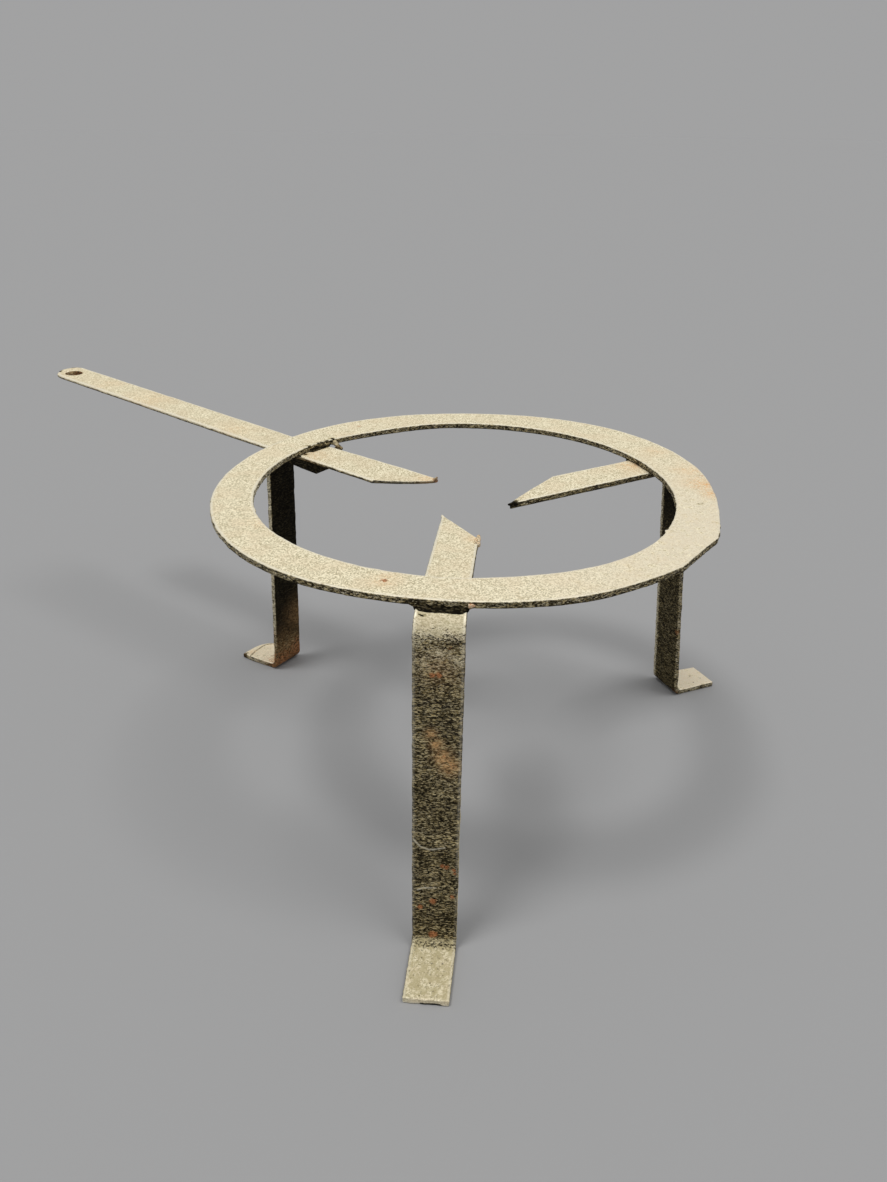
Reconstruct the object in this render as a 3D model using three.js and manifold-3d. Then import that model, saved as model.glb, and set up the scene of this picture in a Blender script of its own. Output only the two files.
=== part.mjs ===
// Campfire trivet, forged from flat iron bar: a ring on three splayed legs, with a long handle.
//
// Two of the legs are one bar each: it starts as a foot that points outwards, rises as the shank,
// bends over just outside the ring, passes under it and runs on inwards as a prong. The third leg
// stops short under the handle bar, whose inner end is the third prong. Every joint is a fillet weld.
//
// Millimetres, +Z up. The handle points along -X. Each leg is drawn in its own plane, with x
// outwards from the ring's centre, y across the bar and z up, and then turned about the ring's axis.

import * as THREE from 'three';
import { mergeVertices } from 'three/addons/utils/BufferGeometryUtils.js';
import Module from 'manifold-3d';

// Ring
const ringTopHeight = 153.5;
const ringThickness = 3.2;
const ringOuterRadius = 122.5;
const ringBandWidth = 21;
const ringArris = 0.45;
const ringSteps = 144;

// The smith's bumps in the ring's edges: each swells an edge by rise at its middle, and fades
// out over spread degrees to either side. A negative rise is a dip.
const outerEdgeBumps = [
  { at: 80, spread: 50, rise: 5.7 },
  { at: 195, spread: 45, rise: -1.9 },
  { at: 257, spread: 30, rise: 1.1 },
  { at: 295, spread: 25, rise: -1.5 },
  { at: 330, spread: 20, rise: 1.2 },
  { at: 357, spread: 24, rise: 2.6 },
  { at: 25, spread: 25, rise: -1.9 },
];
const innerEdgeBumps = [
  { at: 50, spread: 45, rise: -1.2 },
  { at: 156, spread: 28, rise: -3.2 },
  { at: 243, spread: 38, rise: 1.4 },
  { at: 346, spread: 34, rise: 2.3 },
];

// Where the ring's two ends were welded together, the outer edge is hammered flat
const closureAzimuth = -2;
const closureFlatInset = 2.1;

// Bars of the legs
const legThickness = 3.2;
const legArris = 0.45;
const legStandOff = 6.3;
const topBendRadius = 10.4;
const heelBendRadius = 4.6;
const prongDroop = 2.8;
const prongKinkRadius = 30;

// The two legs that end as prongs. Each width comes with the shift of the bar's middle across the
// leg, because the smith's bends are not quite true. tipReach and cornerReach are how far from the
// ring's centre the oblique cut leaves the bar's two edges, and a cutBow above 1 rounds it.
const frontLeg = {
  azimuth: -60,
  splay: 7.3,
  footLength: 28,
  foot: { width: 18.9, shift: 0.6 },
  heel: { width: 18.9, shift: 0.9 },
  shoulder: { width: 20.1, shift: 0.1 },
  prong: { width: 19.2, shift: 0.4 },
  tipReach: 23.7,
  cornerReach: 51,
  cutBow: 1,
};
const backLeg = {
  azimuth: 60,
  splay: 4.9,
  footLength: 26,
  foot: { width: 19, shift: -6.9 },
  heel: { width: 21.5, shift: -4.7 },
  shoulder: { width: 19, shift: -1.3 },
  prong: { width: 21.2, shift: -4.4 },
  tipReach: 17.6,
  cornerReach: 53,
  cutBow: 1.1,
};

// The leg under the handle, whose top is a short thickened flange instead of a prong
const handleLegAzimuth = 180;
const handleLegSplay = 3.3;
const handleLegFootLength = 26.5;
const handleLegFoot = { width: 21.9, shift: 1.9 };
const handleLegHeel = { width: 20.6, shift: 0.4 };
const handleLegShoulder = { width: 19.3, shift: 0.6 };
const handleLegFootSkew = 6;
const handleLegFootBevel = 2;
const handleLegFootEndThickness = 1.5;
const flangeLength = 11.3;
const flangeThickness = 5.6;
const flangeSag = 2.2;

// Handle bar, drawn out wider and thinner than the legs, with a hole to hang it by
const handleThickness = 2.1;
const handleArris = 0.6;
const handleReach = 334;
const handleEnd = { width: 23.8, shift: -1.7 };
const handleRoot = { width: 22.4, shift: 0.2 };
const handlePoint = { width: 25, shift: -1.2 };
const handleRise = 2.7;
const handleKinkClearance = 1;
const handleEndRounding = 8.5;
const handleTipReach = 26;
const handleCornerReach = 50;
const handleCutBow = 1.4;
const handleHoleRadius = 5.4;
const handleHoleInset = 12.9;
const handleHoleShift = -1.7;

// Welds
const weldGap = 0.3;
const sideWeldReach = 4.2;
const sideWeldToe = 0.5;
const sideWeldOutside = 1.2;
const sideWeldInside = 1.5;
const edgeWeldReach = 2.6;
const edgeWeldBelowTop = 1.6;
const edgeWeldToe = 0.4;
const edgeWeldInset = 1;
const flangeWeldInset = 1.5;
const flangeWeldReach = 1.2;
const flangeWeldHeight = 3;

// Levels and radii that follow from the sizes above
const ringInnerRadius = ringOuterRadius - ringBandWidth;
const ringUnderside = ringTopHeight - ringThickness;
const handleUnderside = ringUnderside - handleThickness;
const shankTopRadius = ringOuterRadius + legStandOff - legThickness / 2;

const radians = Math.PI / 180;
const lerp = (from, to, share) => from + (to - from) * share;

const forgedIron = new THREE.MeshStandardMaterial({ color: 0x8d8670, roughness: 0.82, metalness: 0.55 });
const handleIron = new THREE.MeshStandardMaterial({ color: 0x9a927a, roughness: 0.78, metalness: 0.55 });
const weldIron = new THREE.MeshStandardMaterial({ color: 0x3a352b, roughness: 0.9, metalness: 0.5 });

// Solid through a row of sections with equally many points. Each section is a list of [x, y, z],
// turning anticlockwise as seen from ahead, and its first and last points are a pair across it, as
// are the second and the last but one, so that a cap is a ladder of strips. A ring has no caps.
function loft(sections, isRing) {
  const count = sections[0].length;
  const faces = [];
  const rows = isRing ? sections.length : sections.length - 1;
  for (let row = 0; row < rows; row++) {
    const here = row * count;
    const next = ((row + 1) % sections.length) * count;
    for (let point = 0; point < count; point++) {
      const beside = (point + 1) % count;
      faces.push(here + point, here + beside, next + beside);
      faces.push(here + point, next + beside, next + point);
    }
  }
  if (!isRing) {
    const last = (sections.length - 1) * count;
    for (let step = 0; step < count / 2 - 1; step++) {
      const pair = count - 1 - step;
      faces.push(step, pair, pair - 1, step, pair - 1, step + 1);
      faces.push(last + step, last + step + 1, last + pair - 1);
      faces.push(last + step, last + pair - 1, last + pair);
    }
  }
  const geometry = new THREE.BufferGeometry();
  geometry.setAttribute('position', new THREE.Float32BufferAttribute(sections.flat(2), 3));
  geometry.setIndex(faces);
  return geometry;
}

// Sum of the bumps at an azimuth in degrees
function bumpHeight(bumps, azimuth) {
  let height = 0;
  for (const bump of bumps) {
    const turned = THREE.MathUtils.euclideanModulo(azimuth - bump.at + 180, 360) - 180;
    const away = Math.min(Math.abs(turned) / bump.spread, 1);
    height += bump.rise * 0.5 * (1 + Math.cos(Math.PI * away));
  }
  return height;
}

// Radius of the ring's outer edge, with its bumps and the flat at the closing weld
function outerEdge(azimuth) {
  const bumpy = ringOuterRadius + bumpHeight(outerEdgeBumps, azimuth);
  const crest = ringOuterRadius + bumpHeight(outerEdgeBumps, closureAzimuth);
  const fromFlat = Math.cos((azimuth - closureAzimuth) * radians);
  const flat = fromFlat > 0.5 ? (crest - closureFlatInset) / fromFlat : Infinity;
  return Math.min(bumpy, flat);
}

function innerEdge(azimuth) {
  return ringInnerRadius + bumpHeight(innerEdgeBumps, azimuth);
}

// Distance of an edge of the ring along a leg's x axis, at y across the leg
function edgeAcross(edge, azimuth, y) {
  const turned = Math.asin(y / edge(azimuth)) / radians;
  return Math.sqrt(edge(azimuth + turned) ** 2 - y ** 2);
}

// Flat ring, swept from a rectangle with worn arrises
function makeRing() {
  const sections = [];
  for (let step = 0; step < ringSteps; step++) {
    const azimuth = (step / ringSteps) * 360;
    const inner = innerEdge(azimuth);
    const outer = outerEdge(azimuth);
    const profile = [
      [inner, ringUnderside + ringArris],
      [inner, ringTopHeight - ringArris],
      [inner + ringArris, ringTopHeight],
      [outer - ringArris, ringTopHeight],
      [outer, ringTopHeight - ringArris],
      [outer, ringUnderside + ringArris],
      [outer - ringArris, ringUnderside],
      [inner + ringArris, ringUnderside],
    ];
    const cosine = Math.cos(azimuth * radians);
    const sine = Math.sin(azimuth * radians);
    sections.push(profile.map(([radius, z]) => [radius * cosine, radius * sine, z]));
  }
  return loft(sections, true);
}

function wrapTurn(angle) {
  return Math.atan2(Math.sin(angle), Math.cos(angle));
}

// Centre line of a bar through its corners, each rounded to its bend radius. The line is a list of
// stations, each with x, z, its heading and its mark, which is 0 at the first corner, 1 at the next
// and so on. A run marked whole gets no station between its ends.
function bentLine(corners) {
  const longestRun = 18;
  const bendStep = 9 * radians;
  const last = corners.length - 1;
  const headings = [];
  for (let index = 0; index < last; index++) {
    const { x, z } = corners[index];
    headings.push(Math.atan2(corners[index + 1].z - z, corners[index + 1].x - x));
  }
  const turns = corners.map((corner, index) => {
    const isInner = index > 0 && index < last && corner.bend > 0;
    return isInner ? wrapTurn(headings[index] - headings[index - 1]) : 0;
  });
  const setBacks = corners.map((corner, index) => corner.bend * Math.tan(Math.abs(turns[index]) / 2));
  const lengths = headings.map((heading, index) => {
    const { x, z } = corners[index];
    return Math.hypot(corners[index + 1].x - x, corners[index + 1].z - z);
  });
  const stations = [];
  for (let index = 0; index < last; index++) {
    const from = corners[index];
    const heading = headings[index];
    const length = lengths[index];
    const straight = length - setBacks[index] - setBacks[index + 1];
    const pieces = from.whole ? 1 : Math.ceil(straight / longestRun);
    for (let piece = 0; piece <= pieces; piece++) {
      const along = setBacks[index] + (straight * piece) / pieces;
      const x = from.x + Math.cos(heading) * along;
      const z = from.z + Math.sin(heading) * along;
      stations.push({ x, z, heading, mark: index + along / length });
    }
    const turn = turns[index + 1];
    const steps = Math.ceil(Math.abs(turn) / bendStep);
    if (steps === 0 && index + 1 < last) {
      stations.pop();
    }
    const bendStart = stations[stations.length - 1];
    const radius = Math.sign(turn) * corners[index + 1].bend;
    for (let step = 1; step < steps; step++) {
      const share = step / steps;
      const turned = heading + turn * share;
      const x = bendStart.x + radius * (Math.sin(turned) - Math.sin(heading));
      const z = bendStart.z - radius * (Math.cos(turned) - Math.cos(heading));
      const bendEndMark = index + 1 + setBacks[index + 1] / lengths[index + 1];
      stations.push({ x, z, heading: turned, mark: lerp(bendStart.mark, bendEndMark, share) });
    }
  }
  return stations;
}

// Flat bar forged along a bent centre line. Its corners also give the bar's width, its shift across
// and how far its top and underside lie from the line, which change evenly from corner to corner.
// startCut and endCut give how far each end is cut back at a place across it, from 0 to 1.
function forgeBar(corners, arris, startCut, endCut) {
  const acrossSteps = 5;
  const stations = bentLine(corners);
  const sections = stations.map((station, index) => {
    const before = Math.min(Math.floor(station.mark), corners.length - 2);
    const between = (key) => lerp(corners[before][key], corners[before + 1][key], station.mark - before);
    const width = between('width');
    const shift = between('shift');
    const top = between('top');
    const under = -between('under');
    const half = width / 2;
    const upper = [[-half, top - arris]];
    const lower = [[-half, under + arris]];
    for (let step = 0; step <= acrossSteps; step++) {
      const across = lerp(arris - half, half - arris, step / acrossSteps);
      upper.push([across, top]);
      lower.push([across, under]);
    }
    upper.push([half, top - arris]);
    lower.push([half, under + arris]);
    const isStart = index === 0;
    const isEnd = index === stations.length - 1;
    const cosine = Math.cos(station.heading);
    const sine = Math.sin(station.heading);
    return [...upper, ...lower.reverse()].map(([across, height]) => {
      const place = across / width + 0.5;
      const ahead = (isStart ? startCut(place) : 0) - (isEnd ? endCut(place) : 0);
      const x = station.x + cosine * ahead + sine * height;
      const z = station.z + sine * ahead - cosine * height;
      return [x, across + shift, z];
    });
  });
  return loft(sections, false);
}

const squareCut = () => 0;

// Oblique chisel cut that leaves the tip at the start of the width
const obliqueCut = (depth, bow) => (place) => depth * Math.pow(place, bow);

// Distance of a shank's centre line from the ring's axis, at a depth below its top bend
function shankRadius(splay, depth) {
  return shankTopRadius + depth * Math.tan(splay * radians);
}

// Foot, shank, bend and prong from one bar
function makeProngLeg(leg) {
  const half = legThickness / 2;
  const seat = ringUnderside - half;
  const heel = shankRadius(leg.splay, seat - half);
  const kink = innerEdge(leg.azimuth);
  const cutStart = leg.cornerReach + legThickness;
  const drooped = (x) => seat - (kink - x) * Math.tan(prongDroop * radians);
  const bar = { top: half, under: half, bend: 0 };
  const prong = { ...bar, ...leg.prong };
  const corners = [
    { ...bar, ...leg.foot, x: heel + half + leg.footLength, z: half },
    { ...bar, ...leg.heel, x: heel, z: half, bend: heelBendRadius },
    { ...bar, ...leg.shoulder, x: shankTopRadius, z: seat, bend: topBendRadius },
    { ...prong, x: kink, z: seat, bend: prongKinkRadius },
    { ...prong, x: cutStart, z: drooped(cutStart), whole: true },
    { ...prong, x: leg.tipReach, z: drooped(leg.tipReach) },
  ];
  const cut = obliqueCut(leg.cornerReach - leg.tipReach, leg.cutBow);
  return forgeBar(corners, legArris, squareCut, cut);
}

// Foot, shank and short thickened flange from one bar. The foot's end is cut askew and bevelled.
function makeHandleLeg() {
  const half = legThickness / 2;
  const seat = handleUnderside - half;
  const heel = shankRadius(handleLegSplay, seat - half);
  const kink = innerEdge(handleLegAzimuth);
  const footEnd = heel + half + handleLegFootLength;
  const bevelStart = footEnd - handleLegFootSkew - handleLegFootBevel;
  const flangeUnder = flangeThickness - half;
  const flangeEnd = seat - flangeLength * Math.tan((prongDroop + flangeSag) * radians);
  const bar = { ...handleLegShoulder, top: half, under: half, bend: 0 };
  const foot = { ...bar, ...handleLegFoot, z: half };
  const corners = [
    { ...foot, x: footEnd, top: handleLegFootEndThickness - half, whole: true },
    { ...foot, x: bevelStart },
    { ...bar, ...handleLegHeel, x: heel, z: half, bend: heelBendRadius },
    { ...bar, x: shankTopRadius, z: seat, bend: topBendRadius },
    { ...bar, x: kink, z: seat, bend: prongKinkRadius, under: flangeUnder },
    { ...bar, x: kink - flangeLength, z: flangeEnd, under: flangeUnder },
  ];
  const skewCut = (place) => handleLegFootSkew * (1 - place);
  return forgeBar(corners, legArris, skewCut, squareCut);
}

// Height of the middle of the handle bar's thickness at a distance from the ring's axis
function handleLevel(x) {
  const seat = ringUnderside - handleThickness / 2;
  const inner = innerEdge(handleLegAzimuth);
  const rising = Math.max(x - handleKinkRadius(), 0) * Math.tan(handleRise * radians);
  const drooping = Math.max(inner - x, 0) * Math.tan(prongDroop * radians);
  return seat + rising - drooping;
}

// Distance at which the handle bar leaves the ring and starts to rise
function handleKinkRadius() {
  return outerEdge(handleLegAzimuth) + handleKinkClearance;
}

// Solid for a boolean cut, from a geometry whose shared corners are merged
function toSolid(manifold, geometry) {
  geometry.deleteAttribute('normal');
  geometry.deleteAttribute('uv');
  const merged = mergeVertices(geometry);
  const vertProperties = new Float32Array(merged.attributes.position.array);
  const triVerts = new Uint32Array(merged.index.array);
  return new manifold.Manifold(new manifold.Mesh({ numProp: 3, vertProperties, triVerts }));
}

function fromSolid(solid) {
  const mesh = solid.getMesh();
  const geometry = new THREE.BufferGeometry();
  geometry.setAttribute('position', new THREE.BufferAttribute(mesh.vertProperties, 3));
  geometry.setIndex(new THREE.BufferAttribute(mesh.triVerts, 1));
  return geometry;
}

// Handle and prong from one bar, with a rounded end and the hanging hole
function makeHandleBar(manifold) {
  const half = handleThickness / 2;
  const bar = { ...handleRoot, top: half, under: half, bend: 0 };
  const roundingSteps = 5;
  const corners = [];
  for (let step = 0; step <= roundingSteps; step++) {
    const angle = (step / roundingSteps) * 90 * radians;
    const x = handleReach - handleEndRounding * (1 - Math.cos(angle));
    const width = handleEnd.width - 2 * handleEndRounding * (1 - Math.sin(angle));
    corners.push({ ...bar, x, z: handleLevel(x), width, shift: handleEnd.shift });
  }
  const cutStart = handleCornerReach + legThickness;
  corners.push(
    { ...bar, x: handleKinkRadius(), z: handleLevel(handleKinkRadius()), bend: prongKinkRadius },
    { ...bar, x: innerEdge(handleLegAzimuth), z: ringUnderside - half, bend: prongKinkRadius },
    { ...bar, ...handlePoint, x: cutStart, z: handleLevel(cutStart), whole: true },
    { ...bar, ...handlePoint, x: handleTipReach, z: handleLevel(handleTipReach) },
  );
  const cut = obliqueCut(handleCornerReach - handleTipReach, handleCutBow);
  const blank = forgeBar(corners, handleArris, squareCut, cut);
  const punchSides = 32;
  const punchLength = 4 * handleThickness;
  const punch = new THREE.CylinderGeometry(handleHoleRadius, handleHoleRadius, punchLength, punchSides);
  const holeX = handleReach - handleHoleInset;
  punch.rotateX(90 * radians);
  punch.rotateY(-handleRise * radians);
  punch.translate(holeX, handleHoleShift, handleLevel(holeX));
  return fromSolid(toSolid(manifold, blank).subtract(toSolid(manifold, punch)));
}

// Fillet weld under a surface at z = top, along the bar's side from x = from down to x = to. The
// side is 1 or -1, wall(x) is the y of the bar's flank, and the weld tapers off at both ends.
function makeSideWeld({ from, to, wall, side, top, reach, height }) {
  const lengthSteps = 8;
  const acrossSteps = 4;
  const sections = [];
  for (let step = 0; step <= lengthSteps; step++) {
    const share = step / lengthSteps;
    const size = 0.62 + 0.38 * Math.sqrt(Math.sin(Math.PI * share));
    const x = lerp(from, to, share);
    const upper = [];
    const lower = [];
    for (let column = 0; column <= acrossSteps; column++) {
      const out = column / acrossSteps;
      const y = wall(x) + side * (weldGap + out * reach * size);
      const depth = sideWeldToe + (height - sideWeldToe) * size * (1 - out) ** 2;
      upper.push([x, y, top]);
      lower.push([x, y, top - depth]);
    }
    if (side < 0) {
      upper.reverse();
      lower.reverse();
    }
    sections.push([...upper, ...lower.reverse()]);
  }
  return loft(sections, false);
}

// Fillet weld along the ring's outer edge, on the bar that passes under it. surface(x) is the
// height of the bar's upper face and outermost the furthest x that the weld may reach.
function makeEdgeWeld({ azimuth, width, shift, surface, outermost }) {
  const lengthSteps = 10;
  const acrossSteps = 4;
  const half = width / 2 - edgeWeldInset;
  const sections = [];
  for (let step = 0; step <= lengthSteps; step++) {
    const y = shift + lerp(half, -half, step / lengthSteps);
    const start = edgeAcross(outerEdge, azimuth, y) + weldGap;
    const toe = Math.min(start + edgeWeldReach, outermost);
    const toeHeight = surface(toe) + weldGap + edgeWeldToe;
    const upper = [];
    const lower = [];
    for (let column = 0; column <= acrossSteps; column++) {
      const out = column / acrossSteps;
      const x = lerp(start, toe, out);
      const hollow = 1 - (1 - out) ** 1.5;
      upper.push([x, y, lerp(ringTopHeight - edgeWeldBelowTop, toeHeight, hollow)]);
      lower.push([x, y, surface(x) + weldGap]);
    }
    sections.push([...upper.reverse(), ...lower]);
  }
  return loft(sections, false);
}

const library = await Module();
library.setup();

const trivet = new THREE.Group();
trivet.name = 'campfire_trivet';

function turnedGroup(azimuth) {
  const group = new THREE.Group();
  group.rotation.z = azimuth * radians;
  trivet.add(group);
  return group;
}

function addPiece(group, name, geometry, material) {
  geometry.computeVertexNormals();
  const piece = new THREE.Mesh(geometry, material);
  piece.name = name;
  group.add(piece);
}

// The pair of welds along a bar's two flanks where it passes under the ring. flank(x, side) is the
// y of the bar's flank.
function addSideWelds(group, name, azimuth, flank, height) {
  for (const [label, side] of [['left', 1], ['right', -1]]) {
    const wall = (x) => flank(x, side);
    const from = edgeAcross(outerEdge, azimuth, wall(ringOuterRadius)) + sideWeldOutside;
    const to = edgeAcross(innerEdge, azimuth, wall(ringInnerRadius)) - sideWeldInside;
    const weld = makeSideWeld({ from, to, wall, side, top: ringUnderside, reach: sideWeldReach, height });
    addPiece(group, `${name}_weld_${label}`, weld, weldIron);
  }
}

addPiece(trivet, 'ring', makeRing(), forgedIron);

// Front and back legs, each welded to the ring along both flanks and over its bend
for (const [name, leg] of [['front_leg', frontLeg], ['back_leg', backLeg]]) {
  const group = turnedGroup(leg.azimuth);
  addPiece(group, name, makeProngLeg(leg), forgedIron);
  const kink = innerEdge(leg.azimuth);
  const flank = (x, side) => {
    const share = THREE.MathUtils.clamp((shankTopRadius - x) / (shankTopRadius - kink), 0, 1);
    const width = lerp(leg.shoulder.width, leg.prong.width, share);
    return lerp(leg.shoulder.shift, leg.prong.shift, share) + (side * width) / 2;
  };
  addSideWelds(group, name, leg.azimuth, flank, legThickness);
  const crown = topBendRadius + legThickness / 2;
  const bendStart = shankTopRadius - topBendRadius * Math.tan((45 - leg.splay / 2) * radians);
  const fallen = (x) => crown - Math.sqrt(crown ** 2 - Math.max(x - bendStart, 0) ** 2);
  const surface = (x) => ringUnderside - fallen(x);
  const outermost = shankTopRadius + legThickness / 4;
  const weld = makeEdgeWeld({ azimuth: leg.azimuth, ...leg.shoulder, surface, outermost });
  addPiece(group, `${name}_weld_outer`, weld, weldIron);
}

// Handle bar and the leg under it
const handleGroup = turnedGroup(handleLegAzimuth);
addPiece(handleGroup, 'handle_bar', makeHandleBar(library), handleIron);
addPiece(handleGroup, 'handle_leg', makeHandleLeg(), forgedIron);
const handleFlank = (x, side) => handleRoot.shift + (side * handleRoot.width) / 2;
addSideWelds(handleGroup, 'handle_bar', handleLegAzimuth, handleFlank, handleThickness);
const handleTop = (x) => handleLevel(x) + handleThickness / 2;
const handleEdgeWeld = makeEdgeWeld({
  azimuth: handleLegAzimuth, ...handleRoot, surface: handleTop, outermost: Infinity,
});
addPiece(handleGroup, 'handle_bar_weld_outer', handleEdgeWeld, weldIron);
for (const [label, side] of [['left', 1], ['right', -1]]) {
  const flangeWeld = makeSideWeld({
    from: shankTopRadius - topBendRadius,
    to: innerEdge(handleLegAzimuth) + flangeWeldInset,
    wall: () => handleLegShoulder.shift + (side * handleLegShoulder.width) / 2,
    side,
    top: handleUnderside,
    reach: flangeWeldReach,
    height: flangeWeldHeight,
  });
  addPiece(handleGroup, `handle_leg_weld_${label}`, flangeWeld, weldIron);
}

// The origin lies on the ground under the middle of the trivet's box
const box = new THREE.Box3().setFromObject(trivet, true);
const middle = box.getCenter(new THREE.Vector3());
trivet.position.set(-middle.x, -middle.y, -box.min.z);

export default trivet;
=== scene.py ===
import math
import bpy
import numpy as np
from mathutils import Matrix, Vector


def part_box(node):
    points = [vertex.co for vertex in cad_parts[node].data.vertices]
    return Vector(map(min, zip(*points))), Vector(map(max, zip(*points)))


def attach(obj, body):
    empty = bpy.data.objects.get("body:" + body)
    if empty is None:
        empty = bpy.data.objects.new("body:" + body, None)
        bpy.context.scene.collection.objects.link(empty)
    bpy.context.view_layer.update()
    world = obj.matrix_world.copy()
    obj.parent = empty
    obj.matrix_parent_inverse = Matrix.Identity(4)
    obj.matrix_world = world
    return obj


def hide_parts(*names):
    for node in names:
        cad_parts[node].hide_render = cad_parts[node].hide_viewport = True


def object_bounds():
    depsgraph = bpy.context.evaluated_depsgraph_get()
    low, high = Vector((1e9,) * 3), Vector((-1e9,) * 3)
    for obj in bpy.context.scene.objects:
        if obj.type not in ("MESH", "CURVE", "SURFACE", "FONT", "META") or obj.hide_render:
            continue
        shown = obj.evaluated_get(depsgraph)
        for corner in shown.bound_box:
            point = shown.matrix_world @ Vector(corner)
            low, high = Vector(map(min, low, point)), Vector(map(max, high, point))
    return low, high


# Campfire trivet: the forged surfaces and the finish of each iron piece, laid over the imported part.
# Points are worked out in millimetres: x out from the ring's axis at a bar's own azimuth, y across
# the bar and z up. They come into the part's frame, in metres, only when a mesh is made.

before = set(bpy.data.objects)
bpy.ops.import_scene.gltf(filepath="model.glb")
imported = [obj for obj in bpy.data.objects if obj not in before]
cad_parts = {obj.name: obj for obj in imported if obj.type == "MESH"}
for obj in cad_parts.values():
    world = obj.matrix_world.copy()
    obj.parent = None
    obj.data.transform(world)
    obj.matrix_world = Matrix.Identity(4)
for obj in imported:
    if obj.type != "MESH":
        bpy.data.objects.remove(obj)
cad_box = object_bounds()

# Ring
# One flat bar bent on edge into a circle and welded shut at the right. Its top is the flat on which
# the pot stands; its edges are hammered, pitted and never quite round.
RING_TOP = 153.5
RING_THICKNESS = 3.2
RING_RADIUS = 122.5
RING_BAND = 21.0
RING_UNDERSIDE = RING_TOP - RING_THICKNESS
CLOSURE_AZIMUTH = -2.0
CLOSURE_FLAT_INSET = 2.1
RING_ROWS = 1000
ARRIS = 0.6
MM_PER_METRE = 1000

# Swellings of the ring's edges: azimuth of the middle, reach to either side and rise in mm
OUTER_BUMPS = [
    (80, 50, 5.7), (195, 45, -1.9), (257, 30, 1.1), (295, 25, -1.5), (330, 20, 1.2), (357, 24, 2.6),
    (25, 25, -1.9),
]
INNER_BUMPS = [(50, 45, -1.2), (156, 28, -3.2), (243, 38, 1.4), (346, 34, 2.3)]


def bumped(radius, bumps, azimuth):
    """Radius of an edge at azimuths in degrees: each bump adds one cosine wave, its rise high in the
    middle and nothing from its reach on."""
    total = radius + 0.0 * azimuth
    for middle, reach, rise in bumps:
        away = np.minimum(np.abs((azimuth - middle + 180) % 360 - 180) / reach, 1)
        total = total + rise * 0.5 * (1 + np.cos(np.pi * away))
    return total


def outer_edge(azimuth):
    """Radius of the ring's outer edge, cut off by the straight flat at the closing weld, which lies
    at its own distance divided by the cosine of the angle from its middle."""
    flat_distance = bumped(RING_RADIUS, OUTER_BUMPS, CLOSURE_AZIMUTH) - CLOSURE_FLAT_INSET
    from_flat = np.maximum(np.cos(np.radians(azimuth - CLOSURE_AZIMUTH)), 0.5)
    return np.minimum(bumped(RING_RADIUS, OUTER_BUMPS, azimuth), flat_distance / from_flat)


def inner_edge(azimuth):
    """Radius of the ring's inner edge."""
    return bumped(RING_RADIUS - RING_BAND, INNER_BUMPS, azimuth)


def section_loop(flat_steps, side_steps):
    """Once round a flat bar's section: top, one side, underside, other side. Each point is the
    middle of its corner circle, from -1 to 1 across and up, and the direction out of that circle,
    both as complex numbers."""
    round_steps = 4
    middles, directions = [], []
    for quarter in range(4):
        turn = (-1j) ** quarter
        steps = side_steps if quarter % 2 else flat_steps
        arc = 1j * np.exp(-0.5j * np.pi * np.arange(round_steps) / round_steps)
        middles += [(-1 + 1j + 2 * np.arange(steps) / steps) * turn, np.full(round_steps, (1 + 1j) * turn)]
        directions += [np.full(steps, 1j * turn), arc * turn]
    return np.concatenate(middles), np.concatenate(directions)


def mottle(points, size, seed):
    """Smooth noise from -1 to 1 at points in mm: random heights on a cubic lattice of that size,
    blended between its corners by a cubic ease."""
    heights = np.random.default_rng(seed).uniform(-1, 1, 8192)
    scatter = np.array([73856093, 19349663, 83492791])
    scaled = points / size
    cell = np.floor(scaled).astype(np.int64)
    ease = scaled - cell
    ease = ease * ease * (3 - 2 * ease)
    total = 0.0
    for corner in np.ndindex(2, 2, 2):
        offset = np.array(corner)
        picked = (cell + offset) @ scatter % len(heights)
        total = total + np.prod(np.where(offset == 1, ease, 1 - ease), axis=-1) * heights[picked]
    return total


def layered(points, layers, seed):
    """Sum of mottles with seeds that count up from seed. A layer is its height and size in mm."""
    return sum(height * mottle(points, size, seed + row) for row, (height, size) in enumerate(layers))


def outward(grid, is_ring):
    """Unit normals of a skin's grid: the cross product of the step round it and the step along."""
    around = np.roll(grid, -1, axis=1) - np.roll(grid, 1, axis=1)
    if is_ring:
        along = np.roll(grid, -1, axis=0) - np.roll(grid, 1, axis=0)
    else:
        along = np.gradient(grid, axis=0)
    normals = np.cross(around, along)
    return normals / np.maximum(np.linalg.norm(normals, axis=-1, keepdims=True), 1e-9)


def weathered(grid, is_ring, seed, rough=1.0):
    """Grid pushed along its normals: broad shallow hammer marks all over, and rough pitted scale
    that is deep on upright faces and faint on level ones. Also gives how much each point faces up."""
    normals = outward(grid, is_ring)
    facing_up = normals[..., 2]
    upright = 1 - np.abs(facing_up)
    hammered = layered(grid, [(0.1, 15), (0.05, 6)], seed)
    scale = layered(grid, [(0.2, 3.8), (0.16, 1.5)], seed + 2)
    pits = -0.35 * np.maximum(mottle(grid, 2.2, seed + 4) - 0.5, 0)
    height = hammered - 0.06 + (0.12 + 0.9 * rough * upright) * (scale + pits)
    return grid + normals * height[..., None], facing_up


def ramp(values, low, high):
    """0 at low and beyond, 1 at high and beyond, straight between."""
    return np.clip((values - low) / (high - low), 0, 1)


def levelness(facing_up):
    """1 on faces within about 25 degrees of level, 0 on those that lean more than about 50."""
    return ramp(facing_up, 0.6, 0.9)


def bell(distance, reach):
    """1 at no distance, fading over reach: e to the power of minus the square of distance / reach."""
    return np.exp(-((distance / reach) ** 2))


def bell_round(grid, place, reach):
    """1 at a place, fading over reach in every direction."""
    return bell(np.linalg.norm(grid - np.array(place, float), axis=-1), reach)


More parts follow.
